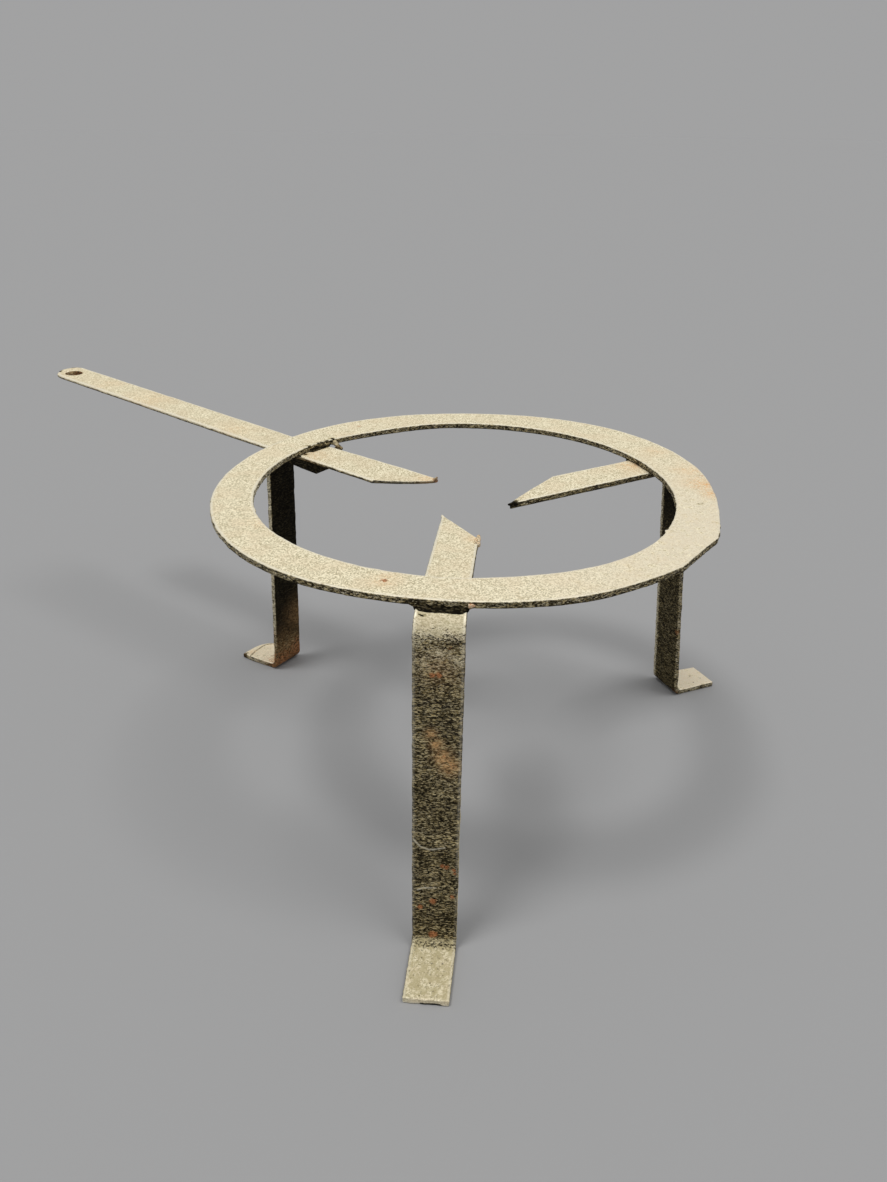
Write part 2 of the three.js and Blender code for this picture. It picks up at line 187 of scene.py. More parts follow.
def patches(grid, places):
    """How strongly each point has a mark. A place is x, y, z, the mark's reach and its strength."""
    amount = np.zeros(grid.shape[:-1])
    for *place, reach, strength in places:
        amount = np.maximum(amount, strength * bell_round(grid, place, reach))
    return amount


# What a piece's finish is told at each point: how pale, worn, rusty, stained and sooty it is. The
# paleness is partly a painted sheen, the wear partly a painted highlight and the soot partly painted shade.
MARKS = ("pale", "wear", "rust", "stain", "soot")
BAR_HALF_WIDTH = 10


def iron_marks(grid, facing_up, loop, sides, from_end=np.inf, rolled=2.0, rust=(), stain=(), soot=()):
    """The marks of each point of a skin. Faces that look up are pale, less so over the arrises by
    how far they are rolled over, and the bar's narrow sides a little; this paleness is partly the
    iron's dry colour and partly a painted sheen of the overhead light. Arrises are worn bright, most
    where they look up, partly real wear and partly a painted highlight. Rust, stain and soot lie in
    patches, and soot patches also carry painted shade."""
    middles, directions = loop
    looks_up = np.clip(facing_up, 0, 1)
    pale = np.where(facing_up > 0, 1.3 * facing_up - 0.04, facing_up) + sides * np.abs(directions.real)
    pale = pale - rolled * (1 - directions.imag) * looks_up
    inside = np.hypot((1 - np.abs(middles.real)) * BAR_HALF_WIDTH, 1 - np.abs(middles.imag))
    wear = bell(inside, ARRIS) * np.clip(directions.imag, 0, 1) ** rolled
    wear = np.maximum(wear, bell(from_end, ARRIS)) * (0.08 + 0.92 * looks_up)
    return dict(zip(MARKS, (pale, wear, *(patches(grid, places) for places in (rust, stain, soot)))))


def strengthen(marks, **stronger):
    """Brings marks up to the values given for them, wherever those are stronger."""
    for name, values in stronger.items():
        marks[name] = np.maximum(marks[name], values)


# Place of the ring's axis: the CAD ring, with a corner every 2.5 degrees, fills its box
outline_azimuth = np.arange(0, 360, 2.5)
outline = outer_edge(outline_azimuth)
ring_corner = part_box("ring")[1]
RING_CENTRE = (
    MM_PER_METRE * ring_corner.x - np.max(outline * np.cos(np.radians(outline_azimuth))),
    MM_PER_METRE * ring_corner.y - np.max(outline * np.sin(np.radians(outline_azimuth))),
)


def grid_of(x, y, z):
    """Points from their x, y and z, any mix of arrays and numbers."""
    return np.stack(np.broadcast_arrays(x, y, z), axis=-1).astype(float)


def placed(grid, azimuth):
    """Points in the part's frame, in metres, from points in a bar's own axes, in mm. None is left
    outside the CAD part's box."""
    turn = math.radians(azimuth)
    x = grid[..., 0] * math.cos(turn) - grid[..., 1] * math.sin(turn) + RING_CENTRE[0]
    y = grid[..., 0] * math.sin(turn) + grid[..., 1] * math.cos(turn) + RING_CENTRE[1]
    points = grid_of(x, y, grid[..., 2]) / MM_PER_METRE
    return np.clip(points, np.array(cad_box[0]), np.array(cad_box[1]))


def grid_faces(shape, is_ring):
    """Quads between the points of a grid that closes round its columns, and on a ring its rows."""
    index = np.arange(shape[0] * shape[1]).reshape(shape)
    beside = np.roll(index, -1, axis=1)
    faces = np.stack([index, beside, np.roll(beside, -1, axis=0), np.roll(index, -1, axis=0)], axis=-1)
    return faces if is_ring else faces[:-1]


def add_object(name, data):
    """An object of the scene that holds a mesh, lamp or camera."""
    made = bpy.data.objects.new(name, data)
    bpy.context.scene.collection.objects.link(made)
    return made


def new_piece(name, node, azimuth, skin, marks, material, faces=None):
    """Smooth mesh of a skin in its bar's own axes, with its marks as attributes of its points. It
    stands for a CAD node, if it has one."""
    if faces is None:
        faces = grid_faces(skin.shape[:2], False)
    mesh = bpy.data.meshes.new(name)
    mesh.from_pydata(placed(skin, azimuth).reshape(-1, 3), [], faces.reshape(-1, 4))
    for mark_name, values in marks.items():
        attribute = mesh.attributes.new(mark_name, "FLOAT", "POINT")
        at_points = np.broadcast_to(values, skin.shape[:-1]).astype(np.float32)
        attribute.data.foreach_set("value", at_points.ravel())
    mesh.materials.append(material)
    mesh.shade_smooth()
    piece = add_object(name, mesh)
    if node:
        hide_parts(node)
    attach(piece, "root")


def add_node(tree, kind, inputs=None, **settings):
    """A shader node with its settings, its inputs set to values or linked to other nodes' sockets."""
    made = tree.nodes.new("ShaderNode" + kind)
    for setting, value in settings.items():
        setattr(made, setting, value)
    for socket, value in (inputs or {}).items():
        if isinstance(value, bpy.types.NodeSocket):
            tree.links.new(value, made.inputs[socket])
        else:
            made.inputs[socket].default_value = value
    return made


def maths(operation, socket, *values):
    """The result of Math nodes that take an operation from a socket through values, one by one."""
    for value in values:
        socket = add_node(socket.id_data, "Math", {0: socket, 1: value}, operation=operation).outputs[0]
    return socket


def weighed(*parts):
    """Sum of values, each times its weight."""
    return maths("ADD", *(maths("MULTIPLY", value, weight) for value, weight in parts))


def around_nothing(value, width):
    """A noise from 0 to 1 moved so that it varies to either side of 0, and spread to width."""
    return maths("MULTIPLY", maths("SUBTRACT", value, 0.5), width)


def spread(value, low, high, to_low=0.0, to_high=1.0):
    """value eased from low..high to to_low..to_high."""
    inputs = {0: value, 1: low, 2: high, 3: to_low, 4: to_high}
    return add_node(value.id_data, "MapRange", inputs, interpolation_type="SMOOTHSTEP").outputs[0]


def blend(share, first, second):
    """Colour mixed from first to second, each a socket or three values."""
    inputs = {0: share}
    for socket, colour in ((6, first), (7, second)):
        inputs[socket] = (*colour, 1) if isinstance(colour, tuple) else colour
    return add_node(share.id_data, "Mix", inputs, data_type="RGBA").outputs[2]


def noise(place, size, detail, roughness):
    """Noise from 0 to 1 whose blotches are about size mm across."""
    inputs = {"Vector": place, "Scale": MM_PER_METRE / size, "Detail": detail, "Roughness": roughness}
    return add_node(place.id_data, "TexNoise", inputs).outputs[0]


def crystals(place, size):
    """A value of its own, from 0 to 1, for each crystal about size mm across."""
    inputs = {"Vector": place, "Scale": MM_PER_METRE / size}
    return add_node(place.id_data, "TexVoronoi", inputs).outputs["Color"]


# Colours of the finish. A pair is the darkest and the lightest grain.
# The pale face's colour: dry iron that also carries a painted sheen of the overhead light
DRY_FACE_AND_SHEEN = (0.48, 0.415, 0.26), (0.95, 0.865, 0.635)
CLOT = (0.66, 0.61, 0.44)
DULLED_FACE = (0.45, 0.385, 0.215)
# Fire scale in a shaded copy and a lit copy: painted shade where faces lean down, painted light where they
# lean up
SHADED_BLACK_SCALE = (0.006, 0.0045, 0.002), (0.05, 0.038, 0.015)
LIT_BROWN_SCALE = (0.008, 0.006, 0.003), (0.12, 0.094, 0.046)
GREY_SCALE = (0.018, 0.015, 0.012)
# Black of soot, also used for painted shade
SOOT_AND_SHADE_BLACK = (0.005, 0.0036, 0.0016)
# Painted glints: highlights put into the scale's colour
GLINT = (0.4, 0.3, 0.12), (0.74, 0.63, 0.38)
# Rubbed arrises: bright bare iron, partly a painted highlight
RUBBED_AND_HIGHLIT_ARRIS = (1.0, 0.93, 0.74)
STAIN = (0.82, 0.48, 0.21)
RUST = (0.22, 0.078, 0.03), (0.6, 0.26, 0.11)


def make_iron_finish():
    """The finish of old forged iron, as a node group. Faces that look up are pale, dry and finely
    speckled, their paleness partly a painted sheen of the overhead light; upright and lower faces
    keep black, pitted fire scale, crinkled in level lines, painted browner where they lean up to the
    light and blacker where they lean down into shade, with small painted glints; arrises are rubbed
    bright, partly a painted highlight. A little soot only dulls the pale faces; more soot, and the
    painted shade that it carries, turns them black."""
    tree = bpy.data.node_groups.new("old iron finish", "ShaderNodeTree")
    for name, kind, direction in (
        ("Pale Tint", "Color", "INPUT"), ("Rust All Over", "Float", "INPUT"),
        ("Soot All Over", "Float", "INPUT"), ("Colour", "Color", "OUTPUT"),
        ("Roughness", "Float", "OUTPUT"), ("Metallic", "Float", "OUTPUT"), ("Relief", "Float", "OUTPUT"),
    ):
        tree.interface.new_socket(name=name, in_out=direction, socket_type="NodeSocket" + kind)
    given = tree.nodes.new("NodeGroupInput").outputs
    pale, wear, rust, stain, soot = (
        add_node(tree, "Attribute", attribute_name=name).outputs["Fac"] for name in MARKS
    )
    coordinates = add_node(tree, "TexCoord").outputs["Object"]
    place, in_level_lines = (
        add_node(tree, "Mapping", {"Vector": coordinates, "Scale": scale}).outputs[0]
        for scale in ((1, 1, 2.3), (0.6, 0.6, 2.3))
    )
    grain = noise(place, 0.65, 2, 0.5)
    speckle = noise(place, 1.2, 3, 0.7)
    clots = noise(place, 3.4, 3, 0.65)
    cloud = noise(place, 13, 3, 0.6)
    crystal = crystals(place, 0.5)
    dashes = crystals(in_level_lines, 0.7)

    ragged = around_nothing(speckle, 1.3)
    clotted = around_nothing(clots, 0.9)
    flaked = around_nothing(crystal, 0.55)
    broken = maths("ADD", ragged, clotted, pale, flaked)
    sooty = maths("MAXIMUM", soot, given["Soot All Over"])
    clean = spread(maths("SUBTRACT", sooty, ragged), 0.35, 0.65, 1, 0)
    # Share of the pale face, which is partly a painted sheen on faces that look up
    pale_share = maths("MULTIPLY", spread(broken, 0.24, 0.66), clean)

    speckled = weighed((crystal, 0.6), (grain, 0.28), (speckle, 0.08))
    dry_and_sheen = blend(spread(speckled, 0.31, 0.62), *DRY_FACE_AND_SHEEN)
    dry_and_sheen = blend(spread(cloud, 0.42, 0.62, 0, 0.34), dry_and_sheen, given["Pale Tint"])
    dry_and_sheen = blend(spread(clots, 0.5, 0.68, 0, 0.12), dry_and_sheen, CLOT)
    dull = maths("MULTIPLY", soot, spread(clots, 0.38, 0.6, 0.9, 1.8))
    dry_and_sheen = blend(spread(dull, 0, 0.65, 0, 0.9), dry_and_sheen, DULLED_FACE)

    # Painted light and shade on the scale: browner where a face leans up to the light, blacker where it
    # leans down
    lit = maths("MULTIPLY", spread(pale, 0.0, 0.13), clean)
    shaded_black = blend(spread(speckle, 0.4, 0.62), *SHADED_BLACK_SCALE)
    lit_brown = blend(spread(speckle, 0.42, 0.6), *LIT_BROWN_SCALE)
    lit_brown = blend(spread(cloud, 0.5, 0.7, 0, 0.6), lit_brown, GREY_SCALE)
    scale = blend(lit, shaded_black, lit_brown)
    # Soot and painted shade turn the scale black
    scale = blend(spread(sooty, 0.3, 1, 0, 0.93), scale, SOOT_AND_SHADE_BLACK)
    # Painted glints, fewer where a face leans down from the light and where it is sooty
    glints = weighed((dashes, 0.7), (speckle, 0.3))
    glints = maths("ADD", glints, around_nothing(clots, 0.2))
    glinting = maths(
        "MULTIPLY", spread(glints, 0.56, 0.68, 0, 0.92), spread(cloud, 0.4, 0.6, 1, 0.7),
        spread(pale, -0.1, 0.13, 0.5, 1), spread(clean, 0, 1, 0.14, 1),
    )
    scale = blend(glinting, scale, blend(spread(grain, 0.4, 0.6), *GLINT))
    colour = blend(pale_share, scale, dry_and_sheen)

    # Rubbed arrises, partly real wear and partly a painted highlight, also smoother and more metallic
    rubbed_and_highlit = maths("MULTIPLY", wear, spread(clots, 0.32, 0.52, 0.1, 1), clean)
    colour = blend(rubbed_and_highlit, colour, RUBBED_AND_HIGHLIT_ARRIS)
    stained = maths(
        "MULTIPLY", stain, spread(clots, 0.3, 0.6, 0.35, 1), spread(speckle, 0.41, 0.57, 0.3, 1.15),
    )
    colour = blend(stained, colour, STAIN)

    rust_noise = spread(cloud, 0.5, 0.75, 0, given["Rust All Over"])
    rusty = maths("ADD", maths("MAXIMUM", rust, rust_noise), ragged)
    rust_share = spread(rusty, 0.42, 0.66, 0, 0.88)
    colour = blend(rust_share, colour, blend(spread(grain, 0.35, 0.65), *RUST))

    roughness = spread(pale_share, 0, 1, 0.55, 0.6)
    roughness = maths("SUBTRACT", roughness, maths("MULTIPLY", rubbed_and_highlit, 0.14))
    roughness = maths("MAXIMUM", roughness, rust_share)
    metallic = maths("MULTIPLY", rubbed_and_highlit, 0.5)
    bumpy = spread(pale_share, 0, 1, 1, 0.2)
    relief = weighed((speckle, bumpy), (grain, 0.25), (clots, 0.25))
    results = tree.nodes.new("NodeGroupOutput").inputs
    for name, socket in (
        ("Colour", colour), ("Roughness", roughness), ("Metallic", metallic), ("Relief", relief),
    ):
        tree.links.new(socket, results[name])
    return tree


iron_finish = make_iron_finish()


def make_iron(name, pale_tint, rust_all_over, soot_all_over):
    """Material of one kind of iron: the shared finish with its own tint, rust and soot."""
    material = bpy.data.materials.new(name)
    material.use_nodes = True
    tree = material.node_tree
    tree.nodes.clear()
    own_values = {
        "Pale Tint": (*pale_tint, 1), "Rust All Over": rust_all_over, "Soot All Over": soot_all_over,
    }
    finish = add_node(tree, "Group", own_values, node_tree=iron_finish).outputs
    bump = add_node(tree, "Bump", {"Strength": 0.9, "Distance": 0.0004, "Height": finish["Relief"]})
    shader = add_node(tree, "BsdfPrincipled", {
        "Base Color": finish["Colour"],
        "Roughness": finish["Roughness"],
        "Metallic": finish["Metallic"],
        "Normal": bump.outputs[0],
        "Specular IOR Level": 0.04,
    })
    add_node(tree, "OutputMaterial", {"Surface": shader.outputs[0]})
    return material


def on_ring(azimuth, radius):
    """A place on the ring's top."""
    turn = math.radians(azimuth)
    return radius * math.cos(turn), radius * math.sin(turn), RING_TOP


def ring_places(places):
    """Places for patches on the ring's top, each from its azimuth, radius, reach and strength."""
    return [(*on_ring(azimuth, radius), *mark) for azimuth, radius, *mark in places]


def burr(grid, place, reach, push):
    """Pushes the skin round a place by push, in mm, fading out over reach."""
    return grid + bell_round(grid, place, reach)[..., None] * np.array(push, float)


forged_iron = make_iron("forged iron", (0.76, 0.62, 0.42), 0.25, 0.0)

ring_azimuth = np.arange(RING_ROWS) * 360 / RING_ROWS
ring_turn = np.radians(ring_azimuth)[:, None]
ring_loop = section_loop(34, 6)
ring_middles, ring_directions = ring_loop
ring_edges = np.stack([outer_edge(ring_azimuth), inner_edge(ring_azimuth)])[..., None]
ring_half, ring_middle = (ring_edges[0] - ring_edges[1]) / 2, (ring_edges[0] + ring_edges[1]) / 2
ring_radial = ring_middle + ring_middles.real * (ring_half - ARRIS) + ring_directions.real * ARRIS
ring_height = RING_TOP - RING_THICKNESS / 2 + ring_middles.imag * (RING_THICKNESS / 2 - ARRIS)
ring_height = ring_height + ring_directions.imag * ARRIS
ring_grid = grid_of(ring_radial * np.cos(ring_turn), ring_radial * np.sin(ring_turn), ring_height)
ring_skin, ring_up = weathered(ring_grid, True, 11, 1.6)
ring_skin = burr(ring_skin, on_ring(3.4, 103.6), 1.3, (-1.2, 0, 0.2))
ring_skin = burr(ring_skin, on_ring(5.3, 123.6), 1.6, (0.7, 0.2, 0))
crumb_random = np.random.default_rng(5)
weld_crumbs = [
    (azimuth, crumb_random.uniform(100.8, 101.9), crumb_random.uniform(0.7, 1.9), 0.75)
    for azimuth in crumb_random.uniform(171, 184, 13)
]
# Painted light on the ring's edges: a little paler all round and most on the side that faces the left lamp
ring_side_light = 0.2 + 0.27 * bell(ring_azimuth - 225, 28)[:, None]
ring_marks = iron_marks(
    ring_grid, ring_up, ring_loop, ring_side_light, rolled=1.6,
    rust=ring_places([
        (-72.3, 109.8, 2.2, 0.75), (157.8, 111.7, 2.5, 0.6), (-115.4, 102, 2, 0.6), (43, 121, 3, 0.5),
    ]),
    stain=ring_places([
        (37, 119.5, 10, 0.8), (31, 121, 7, 0.9), (47, 119, 9, 0.45), (62, 116, 8, 0.3),
        (-72.3, 110, 6, 0.35), (-116, 102, 7, 0.3),
    ]),
    soot=ring_places([*weld_crumbs, (23.7, 111.5, 1, 0.6), (24.2, 113, 0.9, 0.55)]),
)
# Painted light: the ring's top is made brighter and warmer towards the right, with more wear and stain
painted_light_right = bell((ring_azimuth + 180) % 360 - 185, 40)[:, None] * levelness(ring_up)
strengthen(ring_marks, wear=0.65 * painted_light_right, stain=0.12 * painted_light_right)
new_piece("forged_ring", "ring", 0, ring_skin, ring_marks, forged_iron,
          grid_faces(ring_up.shape, True))

# Front leg
# One flat bar: foot, shank, bend over the ring's edge, and the prong that runs in under the ring.
# The bar was cut off obliquely with a hot chisel, which left a burr at the corner of the prong.
LEG_THICKNESS = 3.2
LEG_HALF = LEG_THICKNESS / 2
LEG_STAND_OFF = 6.3
TOP_BEND = 10.4
HEEL_BEND = 4.6
KINK_BEND = 30.0
PRONG_DROOP = math.radians(2.8)
SHANK_TOP = RING_RADIUS + LEG_STAND_OFF - LEG_HALF

# Distances from the ring's axis beyond which a bar's outer part, a shank's side and a foot lie
OUTER_PART = 115.0
SHANK_SIDE = 120.0
FOOT_TOP = 144.0


def bar_path(corners):
    """The bar's length, and its middle line and sizes at every quarter millimetre along it. A corner
    is x, z, bend radius, width, shift across, and how far top and underside lie from the line. The
    heading is constant on the straights and changes evenly on each bend; x and z add up its steps."""
    corners = np.array(corners, float)
    runs = np.diff(corners[:, :2], axis=0)
    lengths = np.hypot(runs[:, 0], runs[:, 1])
    headings = np.unwrap(np.arctan2(runs[:, 1], runs[:, 0]))
    turns = np.abs(np.diff(headings))
    backs = np.concatenate([[0], corners[1:-1, 2] * np.tan(turns / 2), [0]])
    distances, passed, directions = [0.0], [0.0], [headings[0]]
    for index, length in enumerate(lengths):
        distances.append(distances[-1] + length - backs[index] - backs[index + 1])
        passed.append(index + 1 - backs[index + 1] / length)
        directions.append(headings[index])
        if index + 1 < len(lengths):
            distances.append(distances[-1] + corners[index + 1, 2] * turns[index])
            passed.append(index + 1 + backs[index + 1] / lengths[index + 1])
            directions.append(headings[index + 1])
    step = 0.25
    along = np.arange(0, distances[-1] + step, step)
    heading = np.interp(along, distances, directions)
    corners_passed = np.interp(along, distances, passed)
    path = {"heading": heading}
    step_heading = heading[1:] / 2 + heading[:-1] / 2
    for column, (axis, part) in enumerate((("x", np.cos), ("z", np.sin))):
        path[axis] = corners[0, column] + np.concatenate([[0], np.cumsum(part(step_heading))]) * step
    for column, size in enumerate(("width", "shift", "top", "under"), start=3):
        path[size] = np.interp(corners_passed, np.arange(len(corners)), corners[:, column])
    return distances[-1], along, path


def bar_skin(corners, arris, start_cut, end_cut, loop, spacing=0.5):
    """Grid of a forged bar: its section, a rounded rectangle, swept along the bent middle line,
    with worn round ends closed by flat faces. The cuts give how far each end is cut back at a
    place from 0 to 1 across the bar. Also gives each point's distance from the nearer end."""
    length, walked, path = bar_path(corners)
    middles, directions = loop
    place = 0.5 + 0.5 * middles.real
    first = start_cut(place)
    last = length - end_cut(place)
    face = np.arange(4) / 4
    rounding = np.radians([0, 22, 45, 67])
    ahead = np.concatenate([0 * face, arris * (1 - np.cos(rounding))])
    inset = np.concatenate([arris + 0 * face, arris * (1 - np.sin(rounding))])
    flat = np.concatenate([face, 1 + 0 * rounding])
    rows = int(length / spacing)
    share = np.linspace(0, 1, rows)[:, None]
    along = np.concatenate([
        first + ahead[:, None],
        first + arris + (last - first - 2 * arris) * share,
        last - ahead[::-1, None],
    ])
    inset = np.concatenate([inset, np.zeros(rows), inset[::-1]])[:, None]
    flat = np.concatenate([flat, np.ones(rows), flat[::-1]])[:, None]
    at = {size: np.interp(along, walked, values) for size, values in path.items()}
    corner = np.maximum(arris - inset, 0.05)
    half_width = at["width"] / 2 - inset - corner
    half_thickness = (at["top"] + at["under"]) / 2 - inset - corner
    across = middles.real * half_width + directions.real * corner
    up = (at["top"] - at["under"]) / 2
    up = up + flat * (middles.imag * half_thickness + directions.imag * corner)
    x = at["x"] + np.sin(at["heading"]) * up
    z = at["z"] - np.cos(at["heading"]) * up
    return grid_of(x, at["shift"] + across, z), np.minimum(along - first, last - along)


def oblique(depth, bow):
    """Cut that leaves the tip where the width starts and lies depth back at its other side. Between
    them it goes as the place across to the power of bow."""
    return lambda place: depth * place ** bow


def square(place):
    """Cut straight across."""
    return 0 * place


def prong_leg(azimuth, splay, foot_length, foot, heel, shoulder, prong, tip, corner, bow, loop, spacing):
    """Grid of a leg that ends as a prong. foot, heel, shoulder and prong are the bar's width and
    shift there; tip and corner are how far from the ring's axis the cut leaves the bar's edges."""
    seat = RING_UNDERSIDE - LEG_HALF
    heel_out = SHANK_TOP + (seat - LEG_HALF) * math.tan(math.radians(splay))
    kink = inner_edge(azimuth)
    tip_height = seat - (kink - tip) * math.tan(PRONG_DROOP)
    corners = [
        (heel_out + LEG_HALF + foot_length, LEG_HALF, 0, *foot, LEG_HALF, LEG_HALF),
        (heel_out, LEG_HALF, HEEL_BEND, *heel, LEG_HALF, LEG_HALF),
        (SHANK_TOP, seat, TOP_BEND, *shoulder, LEG_HALF, LEG_HALF),
        (kink, seat, KINK_BEND, *prong, LEG_HALF, LEG_HALF),
        (tip, tip_height, 0, *prong, LEG_HALF, LEG_HALF),
    ]
    return bar_skin(corners, ARRIS, square, oblique(corner - tip, bow), loop, spacing)


def squarely(part):
    """1 where a face looks straight one way, 0 from 45 degrees off. part is its direction's part that
    way."""
    return ramp(part, 0.7, 1)


def scratched(grid, points, reach=0.24):
    """1 along a scratch through points, fading out over reach to either side."""
    points = np.array(points, float)
    nearest = np.full(grid.shape[:-1], np.inf)
    for start, run in zip(points[:-1], np.diff(points, axis=0)):
        share = np.clip((grid - start) @ run / (run @ run), 0, 1)
        nearest = np.minimum(nearest, np.linalg.norm(grid - start - share[..., None] * run, axis=-1))
    return bell(nearest, reach)


def chip(name, azimuth, start, heading, length, width, thickness, curl, values, material):
    """A burr or bead: a tongue of metal that curls up by an angle in degrees as it runs along
    heading and thins to its end. Its section is an ellipse made uneven by noise. values are those
    of its marks, in their order."""
    heading = np.array(heading, float) / np.linalg.norm(heading)
    beside = np.cross((0, 0, 1), heading)
    beside = beside / np.linalg.norm(beside)
    above = np.cross(heading, beside)
    share = np.linspace(0, 1, 26)[:, None, None]
    angle = math.radians(curl) * share
    forward_run = np.sin(angle) / math.radians(curl)
    upward_run = (1 - np.cos(angle)) / math.radians(curl)
    middle = np.array(start, float) + length * (forward_run * heading + upward_run * above)
    normal = np.cos(angle) * above - np.sin(angle) * heading
    turn = np.linspace(0, 2 * np.pi, 20, endpoint=False)[None, :, None]
    thinning = np.sqrt(np.clip(1 - share ** 2, 0, 1)) * np.minimum(share * 12, 1)
    section = width / 2 * np.cos(turn) * beside + thickness / 2 * np.sin(turn) * normal
    uneven = 1 + 0.3 * mottle(middle + section, 1.3, 97)[..., None]
    grid = middle + section * thinning * uneven
    new_piece(name, None, azimuth, grid, dict(zip(MARKS, values)), material)


FRONT_AZIMUTH = -60.0
FRONT_SPLAY = 7.3
FRONT_SHOULDER, FRONT_PRONG = (20.1, 0.1), (19.2, 0.4)
front_loop = section_loop(50, 8)
front_grid, front_from_end = prong_leg(
    FRONT_AZIMUTH, FRONT_SPLAY, foot_length=28, foot=(18.9, 0.6), heel=(18.9, 0.9),
    shoulder=FRONT_SHOULDER, prong=FRONT_PRONG, tip=23.7, corner=51, bow=1, loop=front_loop, spacing=0.44,
)
front_skin, front_up = weathered(front_grid, False, 23, 0.8)
front_skin = burr(front_skin, (25, -9.2, 147), 1.2, (-0.8, -0.5, 0.9))
front_out, front_across, front_height = np.moveaxis(front_grid, -1, 0)
front_marks = iron_marks(
    front_grid, front_up, front_loop, 0.1, front_from_end,
    rust=[
        (131.4, -1.8, 127, 1.7, 0.8), (131.5, 0.6, 127.1, 1.7, 0.8), (131, -3, 130, 3, 0.4),
        (130.1, 4.5, 138.5, 1.6, 0.5), (134.8, -1.6, 101.8, 3, 0.36), (135.2, 0.4, 97.5, 3.5, 0.36),
        (135.9, 3, 92.8, 4, 0.42), (136.6, 6.9, 89, 3.5, 0.45), (142.5, 3.6, 41.8, 1.3, 0.85),
        (142.5, 5.4, 41.5, 1.7, 0.7), (142.6, 8.4, 40.2, 1.2, 0.8), (142.8, 9, 38.6, 1.2, 0.7),
        (144.4, 8, 27.1, 1.5, 0.72), (144.8, 0.1, 23.8, 2.2, 0.8), (145.2, -5.3, 20.7, 1.8, 0.75),
        (146.6, 0.4, 7, 2.2, 1),
    ],
    stain=[
        (134.8, -2, 102, 2.3, 0.7), (135.2, 0.2, 97.5, 2.6, 0.8), (135.9, 3, 92, 3.5, 0.9),
        (136.4, 5.5, 88.5, 3.5, 0.9), (131, 1, 130, 7, 0.22), (52, 9, 148, 4, 0.5),
    ],
    soot=[
        (142.5, -4, 43.5, 4.5, 0.38), (142.5, 5, 45, 4.5, 0.42), (143, 9, 34, 5, 0.34),
        (144.5, 2, 24, 5, 0.26), (145.5, 6, 15, 7, 0.38), (145.5, -5, 14, 6, 0.32), (138, -6, 75, 7, 0.28),
        (139, 4, 64, 6, 0.3),
    ],
)
# Painted sheen: paleness carried a little way down the front of the top bend
below_bend = bell(front_height - 135, 7) * ramp(front_up, 0, 0.1)
front_marks["pale"] += below_bend * (0.24 + 0.22 * mottle(front_grid, 3.5, 71))
lower_side = squarely(front_loop[1].real) * ramp(front_height, 88, 66)
front_marks["pale"] += 0.75 * lower_side
heel_scale = 0.22 * bell(front_out - 148.8, 2) * (front_height < 6)
front_marks["soot"] += 0.19 * ramp(front_out, 117, 123) + 0.1 * ramp(front_out, 146, 150) + heel_scale
front_crack = [(124, -7.9, 148.7), (124.5, -6.6, 148.4), (124.3, -5.4, 148.5)]
strengthen(front_marks, soot=0.8 * scratched(front_grid, front_crack, 0.4))
front_marks["wear"] *= 1 - 0.6 * ramp(front_out, 140, 148)
for scratch in (
    [(141.0, -8.5, 53.9), (141.3, -5.5, 50.4), (141.6, -1.9, 49.2), (141.4, 4.5, 50.8)],
    [(144.2, -6.5, 29.2), (144.0, -4.1, 30.4), (143.9, 1.2, 30.9)],
):
    strengthen(front_marks, wear=0.8 * scratched(front_grid, scratch))
# The foot's end face is painted pale like a face that looks up, with a painted highlight low on it and a
# strip of painted shadow at its foot in the middle
front_end = (front_from_end < ARRIS) & (front_out > FOOT_TOP)
undercut = ramp(front_height, 1.3, 0.9) * ramp(np.abs(front_across - 2.5), 6, 3)
for mark_name, values in (("pale", 1.2), ("wear", 0.8 * ramp(front_height, 1.6, 0.8)), ("soot", undercut)):
    front_marks[mark_name] = np.where(front_end, values, front_marks[mark_name])
new_piece("forged_front_leg", "front_leg", FRONT_AZIMUTH, front_skin, front_marks,
          forged_iron)
chip("front_prong_burr", FRONT_AZIMUTH, (58, 9.3, 147.2), (-1, 0.12, 0.1), 7, 3, 2.4, 35,
     (0.5, 0.2, 0.3, 0.5, 0), forged_iron)

# Back leg
# The same kind of bar at the back right, bent in one piece and welded under the ring. Its shank
# leans a little, and its prong is broader than the front leg's.
BACK_AZIMUTH = 60.0
BACK_SPLAY = 4.9
BACK_SHOULDER, BACK_PRONG = (19, -1.3), (21.2, -4.4)
bar_loop = section_loop(36, 6)
bar_middles, bar_directions = bar_loop
back_grid, back_from_end = prong_leg(
    BACK_AZIMUTH, BACK_SPLAY, foot_length=26, foot=(19, -6.9), heel=(21.5, -4.7),
    shoulder=BACK_SHOULDER, prong=BACK_PRONG, tip=17.6, corner=53, bow=1.1, loop=bar_loop, spacing=0.5,
)
back_skin, back_up = weathered(back_grid, False, 37, 0.8)
back_marks = iron_marks(
    back_grid, back_up, bar_loop, 0.12, back_from_end,
    rust=[(134.5, -14, 45, 3, 0.6), (100, -2, 150, 3, 0.5), (139, -15, 3, 4, 0.5)],
    stain=[(98, -1, 150, 8, 0.6), (104, -6, 150, 6, 0.5)],
    soot=[
        (17, -14.5, 146, 3.2, 1), (20.5, -14, 146, 2.4, 0.8), (158.4, -5.1, 3.2, 1, 0.6),
        (155.8, -11.4, 3.2, 1, 0.6), (162.7, -9.5, 3.2, 0.9, 0.55),
    ],
)
back_out, back_height = back_grid[..., 0], back_grid[..., 2]
back_side = squarely(-bar_directions.real) * (back_out > SHANK_SIDE)
back_marks["pale"] += 0.2 * back_side
# Painted shade: the inner face grows black towards its top, under the ring
back_inner = squarely(-bar_directions.imag) * (back_out > OUTER_PART)
strengthen(back_marks, soot=0.85 * back_inner * ramp(back_height, 80, 125))
